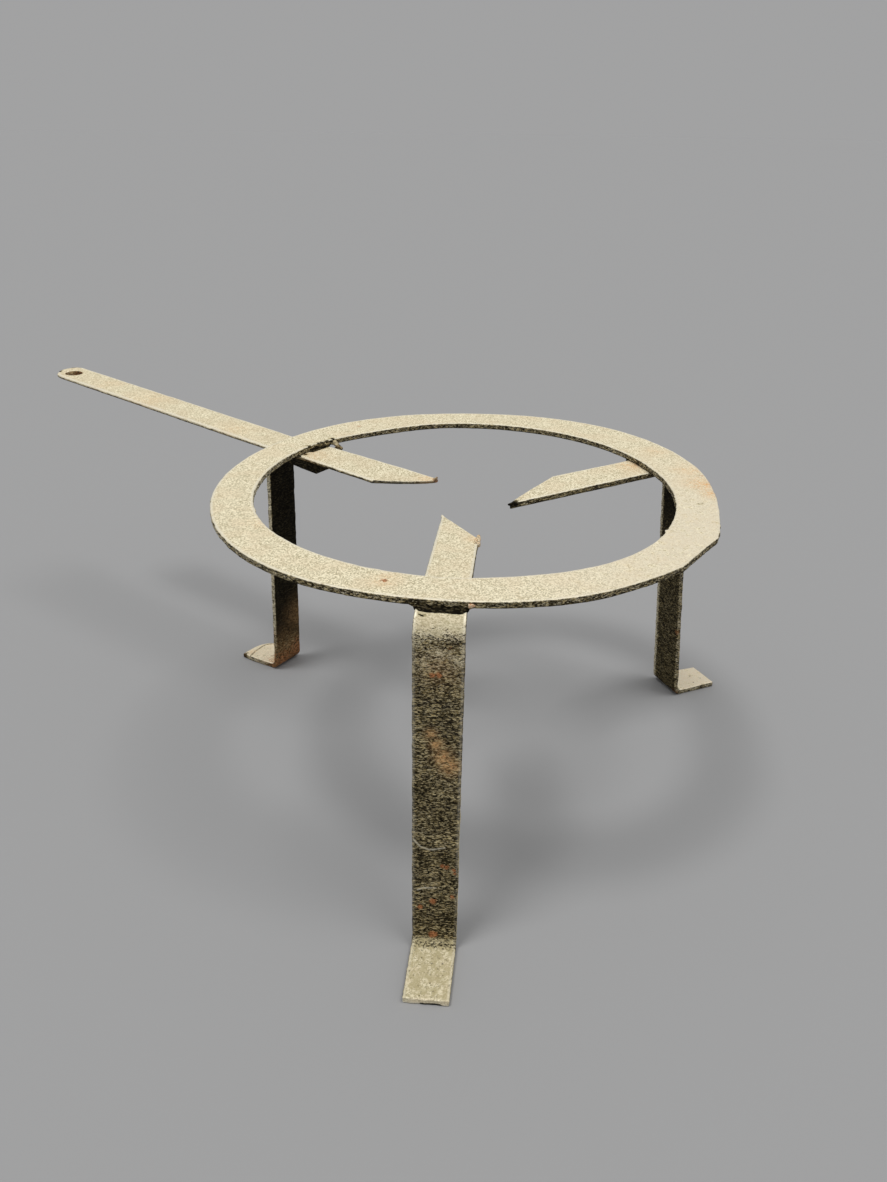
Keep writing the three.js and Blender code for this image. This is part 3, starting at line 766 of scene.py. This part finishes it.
# Painted highlight: a pale strip along the edge of the inner face, with no soot on it
back_arris_highlight = ramp(bar_middles.real, 0.72, 0.88) * ramp(-bar_directions.imag, 0.2, 0.5)
back_arris_highlight = back_arris_highlight * (back_out > OUTER_PART)
back_marks["pale"] += 0.62 * back_arris_highlight
back_marks["soot"] *= 1 - back_arris_highlight
# Painted light: the back foot's top is brightened and warmed with wear and stain
on_back_foot = (back_out > FOOT_TOP) * levelness(back_up)
strengthen(back_marks, wear=on_back_foot, stain=0.24 * on_back_foot)
new_piece("forged_back_leg", "back_leg", BACK_AZIMUTH, back_skin, back_marks, forged_iron)
chip("back_prong_burr", BACK_AZIMUTH, (22, -14.2, 145.2), (-1, -0.1, 0), 6, 2.6, 2.6, 12,
     (0, 0, 0.15, 0, 1), forged_iron)

# Handle leg
# A shorter bar under the handle. Its foot's end was sheared off askew and hammered thin, and its top
# is a thick flange that lies along the handle's underside.
HANDLE_AZIMUTH = 180.0
HANDLE_THICKNESS = 2.1
HANDLE_SPLAY = 3.3
THIN_END, THIN_END_LENGTH = 2.7, 8
FLANGE_THICKNESS = 5.6
FLANGE_LENGTH = 11.3
FLANGE_DROOP = math.radians(5)
HANDLE_FOOT, HANDLE_HEEL, FLANGE = (21.9, 1.9), (20.6, 0.4), (19.3, 0.6)
handle_kink = inner_edge(HANDLE_AZIMUTH)
handle_seat = RING_UNDERSIDE - HANDLE_THICKNESS - LEG_HALF
handle_heel = SHANK_TOP + (handle_seat - LEG_HALF) * math.tan(math.radians(HANDLE_SPLAY))
foot_end = handle_heel + LEG_HALF + 26.5
flange_end = handle_seat - FLANGE_LENGTH * math.tan(FLANGE_DROOP)
flange_under = FLANGE_THICKNESS - LEG_HALF
handle_leg_corners = [
    (foot_end, LEG_HALF, 0, *HANDLE_FOOT, THIN_END - LEG_HALF, LEG_HALF),
    (foot_end - THIN_END_LENGTH, LEG_HALF, 0, *HANDLE_FOOT, LEG_HALF, LEG_HALF),
    (handle_heel, LEG_HALF, HEEL_BEND, *HANDLE_HEEL, LEG_HALF, LEG_HALF),
    (SHANK_TOP, handle_seat, TOP_BEND, *FLANGE, LEG_HALF, LEG_HALF),
    (handle_kink, handle_seat, KINK_BEND, *FLANGE, LEG_HALF, flange_under),
    (handle_kink - FLANGE_LENGTH, flange_end, 0, *FLANGE, LEG_HALF, flange_under),
]


def skewed(place):
    """Foot end cut nearly square, with 7 mm clipped off its far corner."""
    return 7 * (1 - place) ** 4.5


handle_leg_grid, handle_leg_from_end = bar_skin(handle_leg_corners, ARRIS, skewed, square, bar_loop)
handle_leg_skin, handle_leg_up = weathered(handle_leg_grid, False, 41, 0.8)
handle_leg_marks = iron_marks(
    handle_leg_grid, handle_leg_up, bar_loop, 0.05, handle_leg_from_end,
    rust=[(135.5, 5, 4, 18, 0.58), (135.5, -8, 7, 19, 0.57), (137, 11, 26, 8, 0.45), (152, 12, 1, 10, 0.4)],
    stain=[(160, 8, 3, 4, 0.45), (156, -6, 2, 5, 0.3), (135.5, 3, 14, 14, 0.25), (135, -10, 34, 11, 0.34)],
    # The patches at the flange, under the handle, are painted shade
    soot=[
        (162.5, 12.9, 0.6, 3.4, 1), (handle_kink - FLANGE_LENGTH, 2, 144.5, 6, 1), (133, -3, 30, 7, 0.5),
        (95, 10, 145, 9, 0.95), (104, 10, 146, 9, 0.95),
    ],
)
handle_leg_out, handle_leg_height = handle_leg_grid[..., 0], handle_leg_grid[..., 2]
foot_crease = [(157.3, 12.6, 3.2), (159.2, 5.5, 3.1), (160, -3.3, 3), (156.6, -8, 3)]
in_crease = scratched(handle_leg_grid, foot_crease, 0.9)
handle_leg_skin[..., 2] -= 0.3 * in_crease
near_side = squarely(bar_directions.real) * (handle_leg_out > SHANK_SIDE)
on_strip = np.maximum(ramp(handle_leg_height, 6, 34), 0.8 * ramp(handle_leg_out, 140, FOOT_TOP))
handle_leg_marks["pale"] += 0.45 * near_side * on_strip
on_handle_foot = (handle_leg_out > FOOT_TOP) * levelness(handle_leg_up)
# Painted shade: the inner face grows black upwards, under the flange and the ring
handle_leg_inner = squarely(-bar_directions.imag) * (handle_leg_out > OUTER_PART)
strengthen(
    handle_leg_marks, wear=0.5 * on_handle_foot, stain=0.16 * on_handle_foot,
    soot=np.maximum(0.55 * in_crease, handle_leg_inner * ramp(handle_leg_height, 8, 30)),
)
new_piece("forged_handle_leg", "handle_leg", HANDLE_AZIMUTH, handle_leg_skin,
          handle_leg_marks, forged_iron)

# Handle bar
# A wider, thinner bar drawn out under the hammer. It rises slightly outwards to its round end with
# the hanging hole, passes under the ring and droops inside it to an oblique point.
HANDLE_REACH = 334.0
HANDLE_NEAR_EDGE, HANDLE_NEAR_ROUNDING = 8.5, 13.5
HANDLE_FAR_EDGE, HANDLE_FAR_ROUNDING = -13.6, 7.0
HANDLE_RISE = math.radians(2.7)
HANDLE_TIP, HANDLE_CORNER = 26.0, 50.0
HOLE_OUT, HOLE_ACROSS, HOLE_RADIUS = 321.1, -1.7, 5.4
HOLE_BEVEL, PUNCHED_LIP = 0.25, 1.4
HANDLE_ROOT, HANDLE_PRONG = (22.4, 0.2), (25, -1.2)
HANDLE_ARRIS = 0.8
HANDLE_HALF = HANDLE_THICKNESS / 2
handle_root = outer_edge(HANDLE_AZIMUTH) + 1


def handle_lift(out):
    """How much higher the handle lies than under the ring, at a distance from the ring's axis. It
    rises evenly outside the ring, is level under it and droops evenly inside it."""
    rising = np.maximum(out - handle_root, 0) * math.tan(HANDLE_RISE)
    return rising - np.maximum(handle_kink - out, 0) * math.tan(PRONG_DROOP)


def handle_corner(out, bend, width, shift):
    """A corner of the handle's middle line, at a distance from the ring's axis."""
    return out, RING_UNDERSIDE - HANDLE_HALF + handle_lift(out), bend, width, shift, HANDLE_HALF, HANDLE_HALF


def corner_cut(radius, from_end):
    """How far a round corner of that radius cuts into the bar's edge at a distance from its end."""
    return radius - math.sqrt(radius ** 2 - max(radius - from_end, 0) ** 2)


handle_corners = []
for from_end in HANDLE_NEAR_ROUNDING * np.linspace(0, 1, 12) ** 2:
    near = HANDLE_NEAR_EDGE - corner_cut(HANDLE_NEAR_ROUNDING, from_end)
    far = HANDLE_FAR_EDGE + corner_cut(HANDLE_FAR_ROUNDING, from_end)
    handle_corners.append(handle_corner(HANDLE_REACH - from_end, 0, near - far, (near + far) / 2))
for out, bend, bar in (
    (handle_root, KINK_BEND, HANDLE_ROOT), (handle_kink, KINK_BEND, HANDLE_ROOT),
    (HANDLE_CORNER, 0, HANDLE_PRONG), (HANDLE_TIP, 0, HANDLE_PRONG),
):
    handle_corners.append(handle_corner(out, bend, *bar))
HANDLE_FLAT_STEPS = 44
handle_loop = section_loop(HANDLE_FLAT_STEPS, 4)
handle_grid, handle_from_end = bar_skin(
    handle_corners, HANDLE_ARRIS, square, oblique(HANDLE_CORNER - HANDLE_TIP, 1.4), handle_loop, 0.6
)
handle_skin, handle_up = weathered(handle_grid, False, 59)


def pierced(grid, marks):
    """The handle's grid, with the cells inside the hanging hole left out, the points round it moved
    onto its rim, and a wall of quads down from the top rim, round the lip that the punch pushed out
    below, and up to the bottom rim."""
    columns = grid.shape[1]
    top = np.arange(HANDLE_FLAT_STEPS + 1)
    under = columns // 2 + HANDLE_FLAT_STEPS - top
    index = np.arange(grid.shape[0] * columns).reshape(grid.shape[:2])
    rim = HOLE_RADIUS + HOLE_BEVEL
    hole = np.array([HOLE_OUT, HOLE_ACROSS])
    away = grid[:, top, :2] - hole
    distance = np.linalg.norm(away, axis=-1)
    inside = distance < rim + 0.15
    cut = inside[:-1, :-1] & inside[1:, :-1] & inside[:-1, 1:] & inside[1:, 1:]
    cells_round = [np.pad(cut, ((1 - row, row), (1 - column, column))) for row, column in np.ndindex(2, 2)]
    on_rim = np.any(cells_round, axis=0) & ~np.all(cells_round, axis=0)
    moved = grid.copy()
    direction = away[on_rim] / distance[on_rim][:, None]
    for side in (top, under):
        flat = moved[:, side, :2]
        flat[on_rim] = hole + rim * direction
        moved[:, side, :2] = flat
    faces = grid_faces(grid.shape[:2], False)
    kept = np.ones(faces.shape[:2], bool)
    kept[:, top[:-1]] &= ~cut
    kept[:, under[1:]] &= ~cut
    rim_top = index[:, top][on_rim]
    rim_under = index[:, under][on_rim]
    points = moved.reshape(-1, 3)
    lip = points[rim_under, 2] - PUNCHED_LIP + 0.3 * mottle(points[rim_under], 2.5, 61)
    levels = [
        (HOLE_RADIUS, points[rim_top, 2] - HOLE_BEVEL), (HOLE_RADIUS - 0.25, lip + 0.2),
        (HOLE_RADIUS - 0.1, lip), (HOLE_RADIUS + 0.2, lip + 0.1),
    ]
    rings = [rim_top]
    for radius, height in levels:
        rings.append(len(points) + np.arange(len(rim_top)))
        flat = hole + radius * direction
        points = np.concatenate([points, np.column_stack([flat, height])])
    turn = np.argsort(np.arctan2(direction[:, 1], direction[:, 0]))
    rings = np.stack(rings + [rim_under])[:, turn]
    beside = np.roll(rings, -1, axis=1)
    wall = np.stack([rings[:-1], beside[:-1], beside[1:], rings[1:]], axis=-1)
    # Painted light and shade on the hole's wall: pale on the side towards the handle's end, dark and sooty
    # on the rest
    lit = 0.8 * ramp(direction[:, 0], 0.5, 0.95)
    wall_values = (0.5 * lit, 0 * lit, 0.5 - 0.1 * lit, 0.15 + 0.3 * lit, 0.9 - 0.8 * lit)
    extended = {
        name: np.concatenate([np.ravel(marks[name]), np.tile(values, len(levels))])
        for name, values in zip(MARKS, wall_values)
    }
    return points, np.concatenate([faces[kept], wall.reshape(-1, 4)]), extended


handle_out = handle_grid[..., 0]
# Painted light on the handle's narrow sides: pale outside the ring and dark in its shade inside
handle_side_light = 0.12 + 0.34 * ramp(handle_out, OUTER_PART, 150)
handle_marks = iron_marks(
    handle_grid, handle_up, handle_loop, handle_side_light, handle_from_end, rolled=0.2,
    rust=[(27, -12.5, 146, 3, 0.7), (94, 6, 150, 3, 0.4), (327.3, 0.2, 159.9, 1.3, 0.6)],
    stain=[
        (95, 5, 150, 9, 0.3), (100.5, 1, 150, 2.6, 0.7), (30, -10, 147, 6, 0.4), (321, -1.7, 158, 7.5, 0.2),
        (240, 0, 155, 14, 0.25), (160, 3, 151, 10, 0.25), (285, -2, 156, 10, 0.2),
    ],
    # The last two patches are painted shade on the edge of the handle's end
    soot=[
        (100.2, -10.5, 150.2, 1.6, 0.8), (99.4, -8.8, 150.2, 1.2, 0.75), (100.3, -6.5, 150.2, 1.9, 0.8),
        (100.2, -3, 150.2, 1.2, 0.75), (100.5, 7.5, 150.2, 1.7, 0.8), (331.7, 3, 160.1, 1.9, 1.3),
        (332.9, 0.6, 160.2, 1.3, 1),
    ],
)
# A dark line along the rim of the handle's end, and a painted highlight along the near arris outside the
# ring
end_rim = [(334, -1, 160.3), (334, -6.6, 160.3), (332, -11, 160.2), (329, -13, 160)]
near_arris = ramp(handle_loop[0].real, 0.84, 0.92) * ramp(handle_up, 0.5, 0.9) * (handle_out > OUTER_PART)
strengthen(handle_marks, soot=0.65 * scratched(handle_grid, end_rim, 0.8), wear=0.8 * near_arris)
handle_points, handle_faces, handle_marks = pierced(handle_skin, handle_marks)
handle_iron = make_iron("handle iron", (0.66, 0.54, 0.36), 0.1, 0.0)
new_piece("forged_handle", "handle_bar", HANDLE_AZIMUTH, handle_points, handle_marks,
          handle_iron, handle_faces)
chip("handle_point_burr", HANDLE_AZIMUTH, (30, -12, 145.6), (-1, 0.05, 0.05), 5.5, 2.8, 1.6, 55,
     (0.3, 0.1, 0.45, 0.4, 0), handle_iron)

# Welds
# Runs of weld metal that join the bars to the ring: black, lumpy and concave, laid along each bar's
# flanks under the ring, over the bends against the ring's outer edge, and along the flange.
weld_iron = make_iron("weld metal", (0.4, 0.36, 0.3), 0.15, 0.9)


def weld_skin(corner, first_edge, second_edge, fullness, seed):
    """Grid of a fillet run. Its section is a fan from a buried corner line to a hollow face between
    two edge lines, all given along the run in mm. It keeps its size, lumpy as weld beads are, and
    dies out within the last part of the run at both ends: size = 1 - |2 share - 1| ^ fullness."""
    share = np.linspace(0, 1, len(corner))[:, None]
    size = 1 - np.abs(2 * share - 1) ** fullness
    face = np.linspace(0, 1, 16)
    reach = (1 - 0.2 * np.sin(np.pi * face))[:, None]
    first = (first_edge - corner)[:, None]
    second = (second_edge - corner)[:, None]
    spoke = (first * (1 - face)[:, None] + second * face[:, None]) * reach
    grid = corner[:, None] + spoke * size[..., None]
    grid = np.concatenate([grid, np.repeat(corner[:, None], 2, axis=1)], axis=1)
    lumps = layered(grid, [(0.5, 3.4), (0.5, 1.6), (0.25, 0.9)], seed)
    away = grid - grid.mean(axis=1, keepdims=True)
    direction = away / np.maximum(np.linalg.norm(away, axis=-1, keepdims=True), 0.3)
    return grid + direction * (lumps * size)[..., None]


def add_weld(name, node, azimuth, corner, first_edge, second_edge, fullness, seed):
    """Weld piece from its three lines along the run, turned so that its face looks outwards."""
    grid = weld_skin(corner, first_edge, second_edge, fullness, seed)
    if np.sum(outward(grid, False) * (grid - grid.mean(axis=1, keepdims=True))) < 0:
        grid = grid[:, ::-1]
    marks = dict(zip(MARKS, (outward(grid, False)[..., 2], 0, 0, 0, 0)))
    new_piece(name, node, azimuth, grid, marks, weld_iron)


def flank_of(azimuth, outer, inner):
    """Flank of a bar under the ring, as a function of x and of the side, 1 or -1. The bar's width
    and shift change evenly from outer, at the shanks' top, to inner, at the ring's inner edge."""
    kink = inner_edge(azimuth)

    def flank(x, side):
        share = np.clip((SHANK_TOP - x) / (SHANK_TOP - kink), 0, 1)
        width = outer[0] + (inner[0] - outer[0]) * share
        return outer[1] + (inner[1] - outer[1]) * share + side * width / 2
    return flank


def side_welds(name, node, azimuth, x, flank, level, depth, reach, buried, seed):
    """The two runs along a bar's flanks, under a face at a level: depth deep down the flank and reach
    broad along the face. buried is how far the corner line lies inside the bar and over the level,
    and how far over it the broad edge lies."""
    in_bar, over, edge_over = buried
    for label, side in (("left", 1), ("right", -1)):
        wall = flank(x, side)
        corner = grid_of(x, wall - side * in_bar, level + over)
        first = grid_of(x, wall - side * 0.2, level - depth)
        second = grid_of(x, wall + side * reach, level + edge_over)
        add_weld(f"{name}_{label}", f"{node}_{label}", azimuth, corner, first, second, 4, seed + side)


def edge_weld(name, node, azimuth, bar, surface, reach, drop, seed, inside=False):
    """The run over a bar against the ring's outer edge, or its inner one if it lies inside. It
    reaches out to a straight line across the bar and a little round its sides. bar is the bar's
    width and shift, and surface(x) the height of its top."""
    width, shift = bar
    edge_of, way = (inner_edge, -1) if inside else (outer_edge, 1)
    y = np.linspace(shift + width / 2 + 0.6, shift - width / 2 - 0.6, 60)
    turned = np.degrees(np.arcsin(y / RING_RADIUS))
    edge = np.sqrt(edge_of(azimuth + turned) ** 2 - y ** 2)
    front = (np.max(edge * way) + reach) * way
    corner = grid_of(edge - 0.6 * way, y, surface(edge) - 0.6)
    first = grid_of(edge - 0.3 * way, y, RING_TOP - drop)
    second = grid_of(front, y, surface(front) - 0.2)
    add_weld(name, node, azimuth, corner, first, second, 12, seed)


def bend_top(splay):
    """Height of a prong leg's upper face over its top bend, as a function of x: level as far as the
    bend, then down a circle."""
    crown = TOP_BEND + LEG_HALF
    start = SHANK_TOP - TOP_BEND * math.tan(math.radians(45 - splay / 2))

    def height(x):
        squared = crown ** 2 - np.maximum(x - start, 0) ** 2
        return RING_UNDERSIDE - crown + np.sqrt(np.maximum(squared, 0))
    return height


def handle_top(x):
    """Height of the handle's upper face."""
    return RING_UNDERSIDE + handle_lift(x)


for name, node, azimuth, outer, inner, thickness, seed in (
    ("front_weld", "front_leg_weld", FRONT_AZIMUTH, FRONT_SHOULDER, FRONT_PRONG, LEG_THICKNESS, 71),
    ("back_weld", "back_leg_weld", BACK_AZIMUTH, BACK_SHOULDER, BACK_PRONG, LEG_THICKNESS, 75),
    ("handle_weld", "handle_bar_weld", HANDLE_AZIMUTH, HANDLE_ROOT, HANDLE_ROOT, HANDLE_THICKNESS, 79),
):
    under_ring = np.linspace(outer_edge(azimuth) + 1.2, inner_edge(azimuth) - 1.5, 44)
    side_welds(name, node, azimuth, under_ring, flank_of(azimuth, outer, inner), RING_UNDERSIDE,
               thickness, 4.5, (0.4, 0.2, 0.1), seed)
edge_weld("front_weld_outer", "front_leg_weld_outer", FRONT_AZIMUTH, FRONT_SHOULDER,
          bend_top(FRONT_SPLAY), 2.2, 1.2, 83)
edge_weld("back_weld_outer", "back_leg_weld_outer", BACK_AZIMUTH, BACK_SHOULDER,
          bend_top(BACK_SPLAY), 1.4, 1.4, 85)
edge_weld("handle_weld_outer", "handle_bar_weld_outer", HANDLE_AZIMUTH, HANDLE_ROOT,
          handle_top, 2.6, 1.6, 87)
edge_weld("handle_weld_inner", None, HANDLE_AZIMUTH, (15, -4.5), handle_top, 0.6, 1.1, 89, inside=True)
along_flange = np.linspace(SHANK_TOP - TOP_BEND + 1, handle_kink - 0.5, 36)
side_welds("flange_weld", "handle_leg_weld", HANDLE_AZIMUTH, along_flange,
           flank_of(HANDLE_AZIMUTH, FLANGE, FLANGE), handle_seat + LEG_HALF, 3, 1.3, (0.3, 0.3, 0.2), 91)
for name, azimuth, start, heading, length, width, thickness, curl, values in (
    ("front_weld_bead", FRONT_AZIMUTH, (121.8, 10.2, 151.9), (-0.1, 1, 0), 2.8, 2, 1.8, 10,
     (0.5, 0.6, 0.5, 0.4, 0)),
    ("handle_weld_bead", HANDLE_AZIMUTH, (99.9, -15.4, 151.6), (-1, 0.35, -0.45), 5.4, 3, 3, 10,
     (0.5, 0.1, 0.1, 0.1, 0.36)),
    ("handle_weld_drop", HANDLE_AZIMUTH, (96.4, -14, 149.3), (-1, 0.1, 0), 4.2, 4.4, 3, 8,
     (0.4, 0, 0.1, 0.1, 0.6)),
):
    chip(name, azimuth, start, heading, length, width, thickness, curl, values, forged_iron)

# Floor, light and camera
# A plain pale studio floor under soft light from above, seen from in front and from about twice the
# trivet's own height.
FLOOR_REACH = 40
FLOOR_COLOUR = (0.355, 0.355, 0.357, 1)
BACKDROP_COLOUR = (0.36, 0.36, 0.362, 1)
SKY_STRENGTH = 0.45
CAMERA_TILT, CAMERA_ROLL, CAMERA_TURN = map(math.radians, (27.6154, -0.57, 35.3))
IMAGE_HEIGHT = 1182
FOCAL_PIXELS = 888.0
SENSOR_WIDTH = 36

# Where the middle of the ring's top lies from the camera, in ring radii: right, down and ahead
RING_SEEN = (0.0874, -0.4279, 3.565)

floor_mesh = bpy.data.meshes.new("floor")
floor_corners = [(x * FLOOR_REACH, y * FLOOR_REACH, 0) for x, y in ((-1, -1), (1, -1), (1, 1), (-1, 1))]
floor_mesh.from_pydata(floor_corners, [], [(0, 1, 2, 3)])
floor = add_object("floor", floor_mesh)
floor_paint = bpy.data.materials.new("pale floor")
floor_paint.use_nodes = True
floor_shader = floor_paint.node_tree.nodes["Principled BSDF"]
for socket, value in (("Base Color", FLOOR_COLOUR), ("Roughness", 0.9), ("Specular IOR Level", 0.1)):
    floor_shader.inputs[socket].default_value = value
floor_mesh.materials.append(floor_paint)

world = bpy.data.worlds.new("studio")
bpy.context.scene.world = world
world.use_nodes = True
sky = world.node_tree
sky.nodes.clear()
light_path = add_node(sky, "LightPath")
soft_light = add_node(sky, "Background", {"Color": (1, 1, 1, 1), "Strength": SKY_STRENGTH})
backdrop = add_node(sky, "Background", {"Color": BACKDROP_COLOUR, "Strength": 1.0})
rays = ("Is Camera Ray", "Is Glossy Ray", "Is Transmission Ray")
backdrop_seen = maths("MAXIMUM", *(light_path.outputs[ray] for ray in rays))
seen = add_node(sky, "MixShader", {0: backdrop_seen, 1: soft_light.outputs[0], 2: backdrop.outputs[0]})
add_node(sky, "OutputWorld", {0: seen.outputs[0]})


# Turns a direction from the camera's right, ahead and up to the part's frame
camera_turned = np.array([
    [math.cos(CAMERA_TURN), -math.sin(CAMERA_TURN), 0],
    [math.sin(CAMERA_TURN), math.cos(CAMERA_TURN), 0],
    [0, 0, 1],
])


def add_lamp(name, energy, softness, shadow_right, shadow_back):
    """A broad overhead lamp. The shadows that it throws run, per unit of height, so far to the
    camera's right and away from the camera."""
    lamp_data = bpy.data.lights.new(name, "SUN")
    lamp_data.energy = energy
    lamp_data.angle = math.radians(softness)
    shine = Vector(camera_turned @ np.array([shadow_right, shadow_back, -1]))
    add_object(name, lamp_data).rotation_euler = shine.to_track_quat("-Z", "Y").to_euler()


add_lamp("left lamp", 1.07, 16, 0.28, 0.12)
add_lamp("right lamp", 0.76, 24, -0.33, 0.06)

forward = np.array([0, math.cos(CAMERA_TILT), -math.sin(CAMERA_TILT)])
down = np.array([0, -math.sin(CAMERA_TILT), -math.cos(CAMERA_TILT)])
right = np.array([1.0, 0, 0])
image_right = right * math.cos(CAMERA_ROLL) + down * math.sin(CAMERA_ROLL)
image_down = down * math.cos(CAMERA_ROLL) - right * math.sin(CAMERA_ROLL)
eye = -(RING_SEEN[0] * image_right + RING_SEEN[1] * image_down + RING_SEEN[2] * forward) * RING_RADIUS
camera_data = bpy.data.cameras.new("camera")
camera_data.sensor_width = SENSOR_WIDTH
camera_data.lens = SENSOR_WIDTH * FOCAL_PIXELS / IMAGE_HEIGHT
camera = add_object("camera", camera_data)
pose = np.eye(4)
pose[:3, :3] = camera_turned @ np.column_stack([image_right, -image_down, -forward])
pose[:3, 3] = (camera_turned @ eye + np.array([*RING_CENTRE, RING_TOP])) / MM_PER_METRE
camera.matrix_world = Matrix(pose.tolist())
bpy.context.scene.camera = camera
bpy.context.scene.view_settings.view_transform = "Standard"
